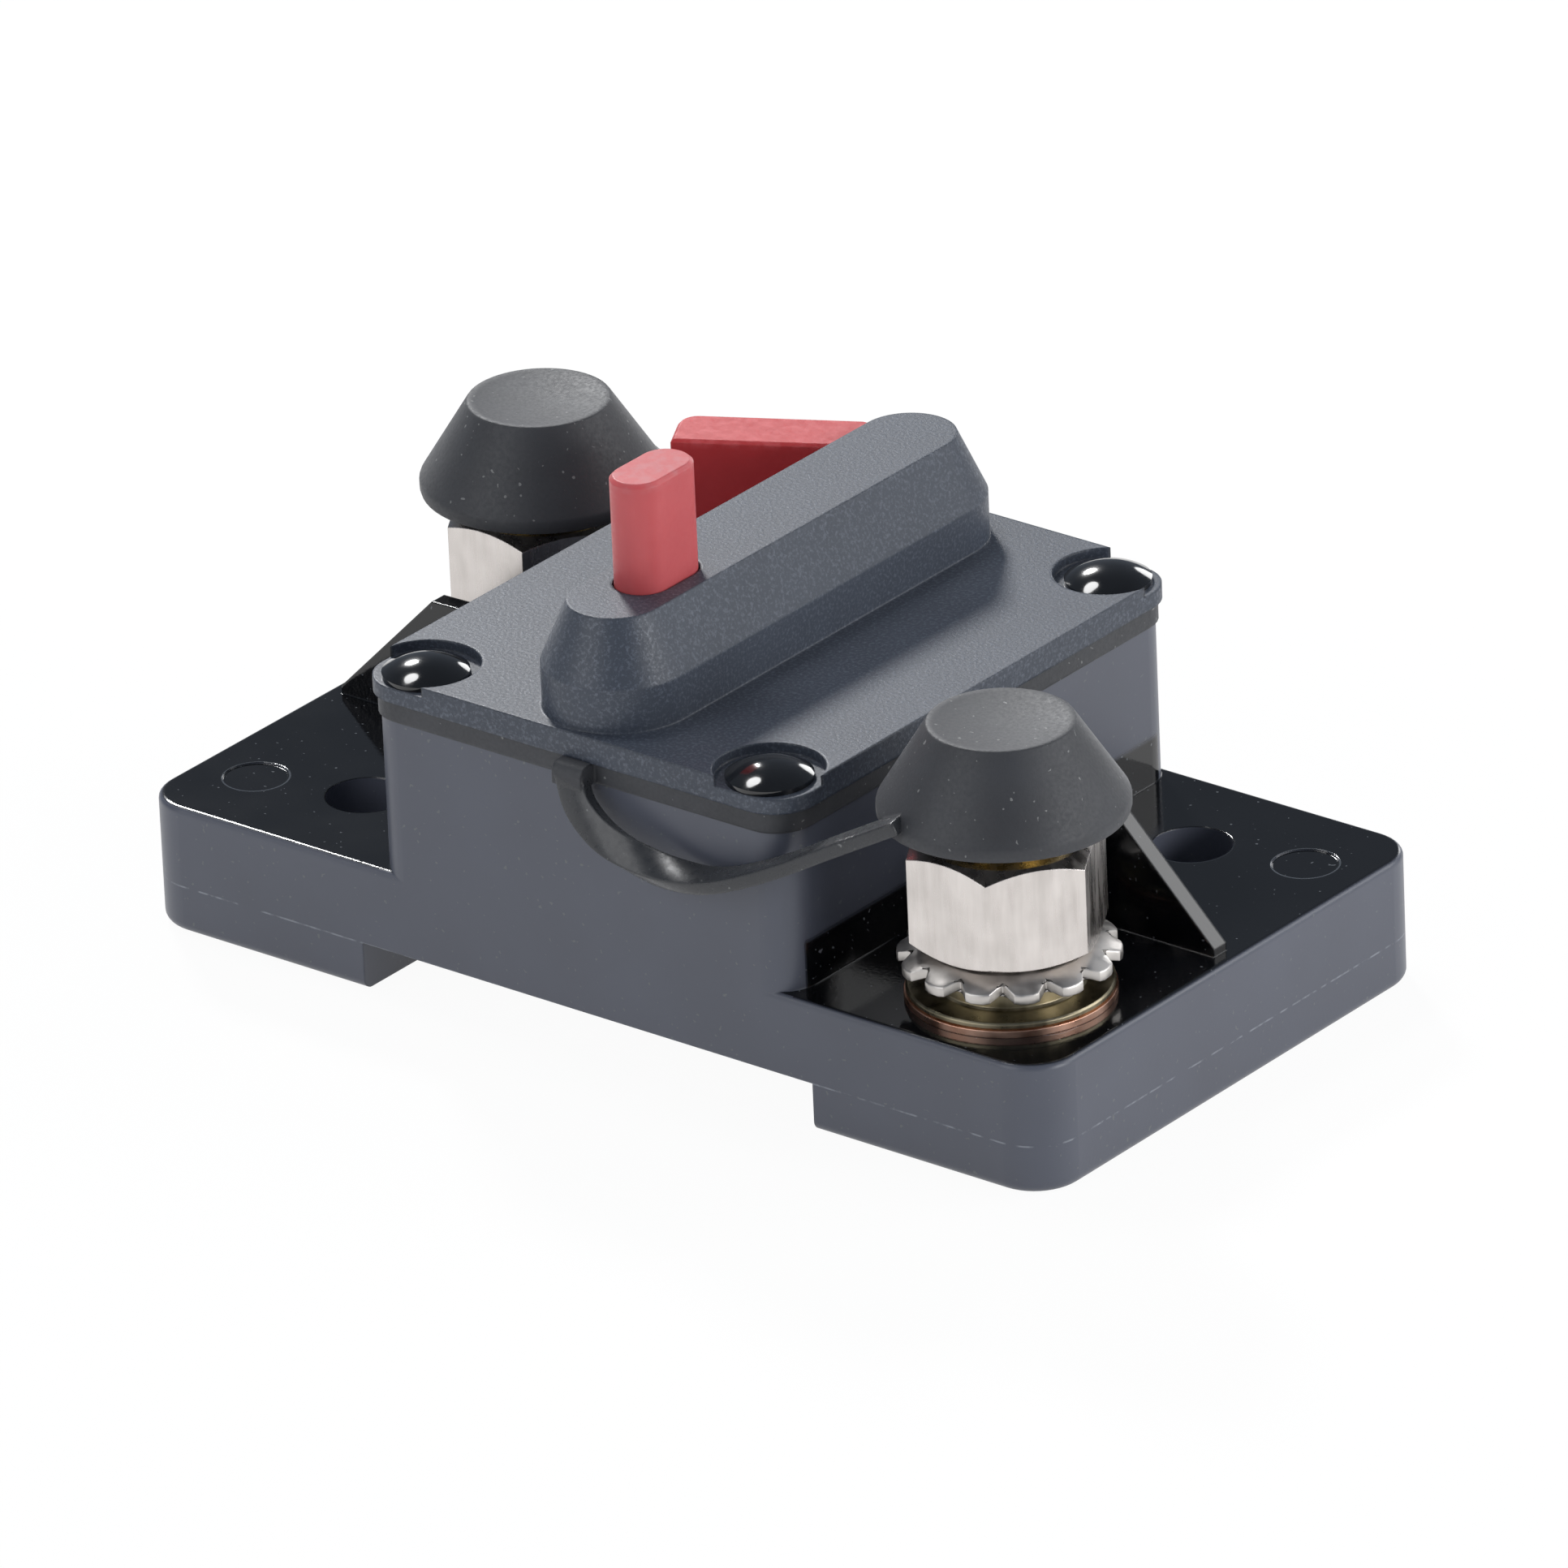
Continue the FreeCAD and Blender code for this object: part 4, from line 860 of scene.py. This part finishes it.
def coilSpring(s):
    x, y = s["centre"]
    rise = s["top"] - s["bottom"] - 2 * s["wireR"]
    bpy.ops.object.select_all(action="DESELECT")
    bpy.ops.mesh.primitive_circle_add(vertices=coilSides, radius=s["wireR"] * mm,
                                      rotation=(math.radians(90), 0, 0),
                                      location=(s["coilR"] * mm, 0, (s["bottom"] + s["wireR"]) * mm))
    piece = bpy.context.active_object
    bpy.ops.object.transform_apply(location=True, rotation=True, scale=True)
    turn = piece.modifiers.new("helix", "SCREW")
    turn.axis = "Z"
    turn.steps = coilSteps
    turn.render_steps = coilSteps
    turn.screw_offset = rise / s["turns"] * mm
    turn.iterations = s["turns"]
    turn.use_merge_vertices = True
    turn.merge_threshold = mergeGap
    bpy.ops.object.modifier_apply(modifier="helix")
    bpy.ops.object.mode_set(mode="EDIT")
    bpy.ops.mesh.select_all(action="SELECT")
    bpy.ops.mesh.remove_doubles(threshold=seamGap)
    bpy.ops.mesh.fill_holes(sides=0)
    bpy.ops.mesh.select_all(action="SELECT")
    bpy.ops.mesh.normals_make_consistent(inside=False)
    bpy.ops.transform.translate(value=(x * mm, y * mm, 0))
    bpy.ops.object.mode_set(mode="OBJECT")
    return piece


for node, s in springs.items():
    spring = joinPieces([coilSpring(s)], node + "_coil")
    finishPiece(spring, finishes["drawnWire"], "spring_steel", 40, node)
    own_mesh(spring)
print("springs coiled")

# Studio: a pale floor and soft lamps, in metres and watts. The key stands low behind the
# object, a little to the camera's left, and the side lamp behind it to the right.
studio = {
    "floorSize": 8.0, "floorDrop": 0.00005, "floorColour": "#f6f6f6", "whiteShare": 0.95,
    "aimHeight": 0.02, "worldColour": "#858e9b", "worldStrength": 0.58,
    "lamps": [
        # name, direction from the object, distance, size, watts
        ("keyLamp", (-0.66, 0.48, 0.58), 1.6, 0.25, 17.0),
        ("sideLamp", (0.60, 0.64, 0.47), 1.6, 1.0, 9.0),
        ("endLamp", (0.95, 0.10, 0.22), 1.6, 0.8, 11.0),
        ("backLamp", (-0.20, 0.94, 0.26), 1.6, 0.5, 3.0),
        ("topLamp", (-0.43, 0.05, 0.90), 1.6, 0.45, 6.0),
        ("frontLamp", (-0.25, -0.85, 0.45), 2.0, 1.6, 14.0),
    ],
}


def makeStudio():
    bpy.ops.object.select_all(action="DESELECT")
    bpy.ops.mesh.primitive_plane_add(size=studio["floorSize"], location=(0, 0, -studio["floorDrop"]))
    floor = bpy.context.active_object
    floor.name = "studioFloor"
    material, tree, _ = startMaterial("paintedFloor")
    paint = addNode(tree, "ShaderNodeBsdfDiffuse", {"Color": studio["floorColour"]})
    white = addNode(tree, "ShaderNodeEmission", {"Color": (1, 1, 1, 1), "Strength": 1.0})
    rays = addNode(tree, "ShaderNodeLightPath")
    shown = addNode(tree, "ShaderNodeMath", {"operation": "MAXIMUM"},
                    {0: rays.outputs["Is Camera Ray"], 1: rays.outputs["Is Glossy Ray"]})
    shown = addNode(tree, "ShaderNodeMath", {"operation": "MAXIMUM"},
                    {0: shown.outputs[0], 1: rays.outputs["Is Transmission Ray"]})
    share = addNode(tree, "ShaderNodeMath", {"operation": "MULTIPLY", 1: studio["whiteShare"]},
                    {0: shown.outputs[0]})
    mixed = addNode(tree, "ShaderNodeMixShader", {},
                    {0: share.outputs[0], 1: paint.outputs[0], 2: white.outputs[0]})
    closeMaterial(tree, mixed)
    floor.data.materials.append(material)
    world = bpy.data.worlds.new("studioWorld")
    world.use_nodes = True
    background = world.node_tree.nodes["Background"]
    background.inputs["Color"].default_value = linearColour(studio["worldColour"])
    background.inputs["Strength"].default_value = studio["worldStrength"]
    bpy.context.scene.world = world
    for name, direction, distance, size, watts in studio["lamps"]:
        data = bpy.data.lights.new(name, "AREA")
        data.shape = "DISK"
        data.size = size
        data.energy = watts
        lamp = bpy.data.objects.new(name, data)
        bpy.context.scene.collection.objects.link(lamp)
        toward = Vector(direction).normalized()
        lamp.location = toward * distance + Vector((0, 0, studio["aimHeight"]))
        lamp.rotation_euler = toward.to_track_quat("Z", "Y").to_euler()


makeStudio()
print("studio ready")
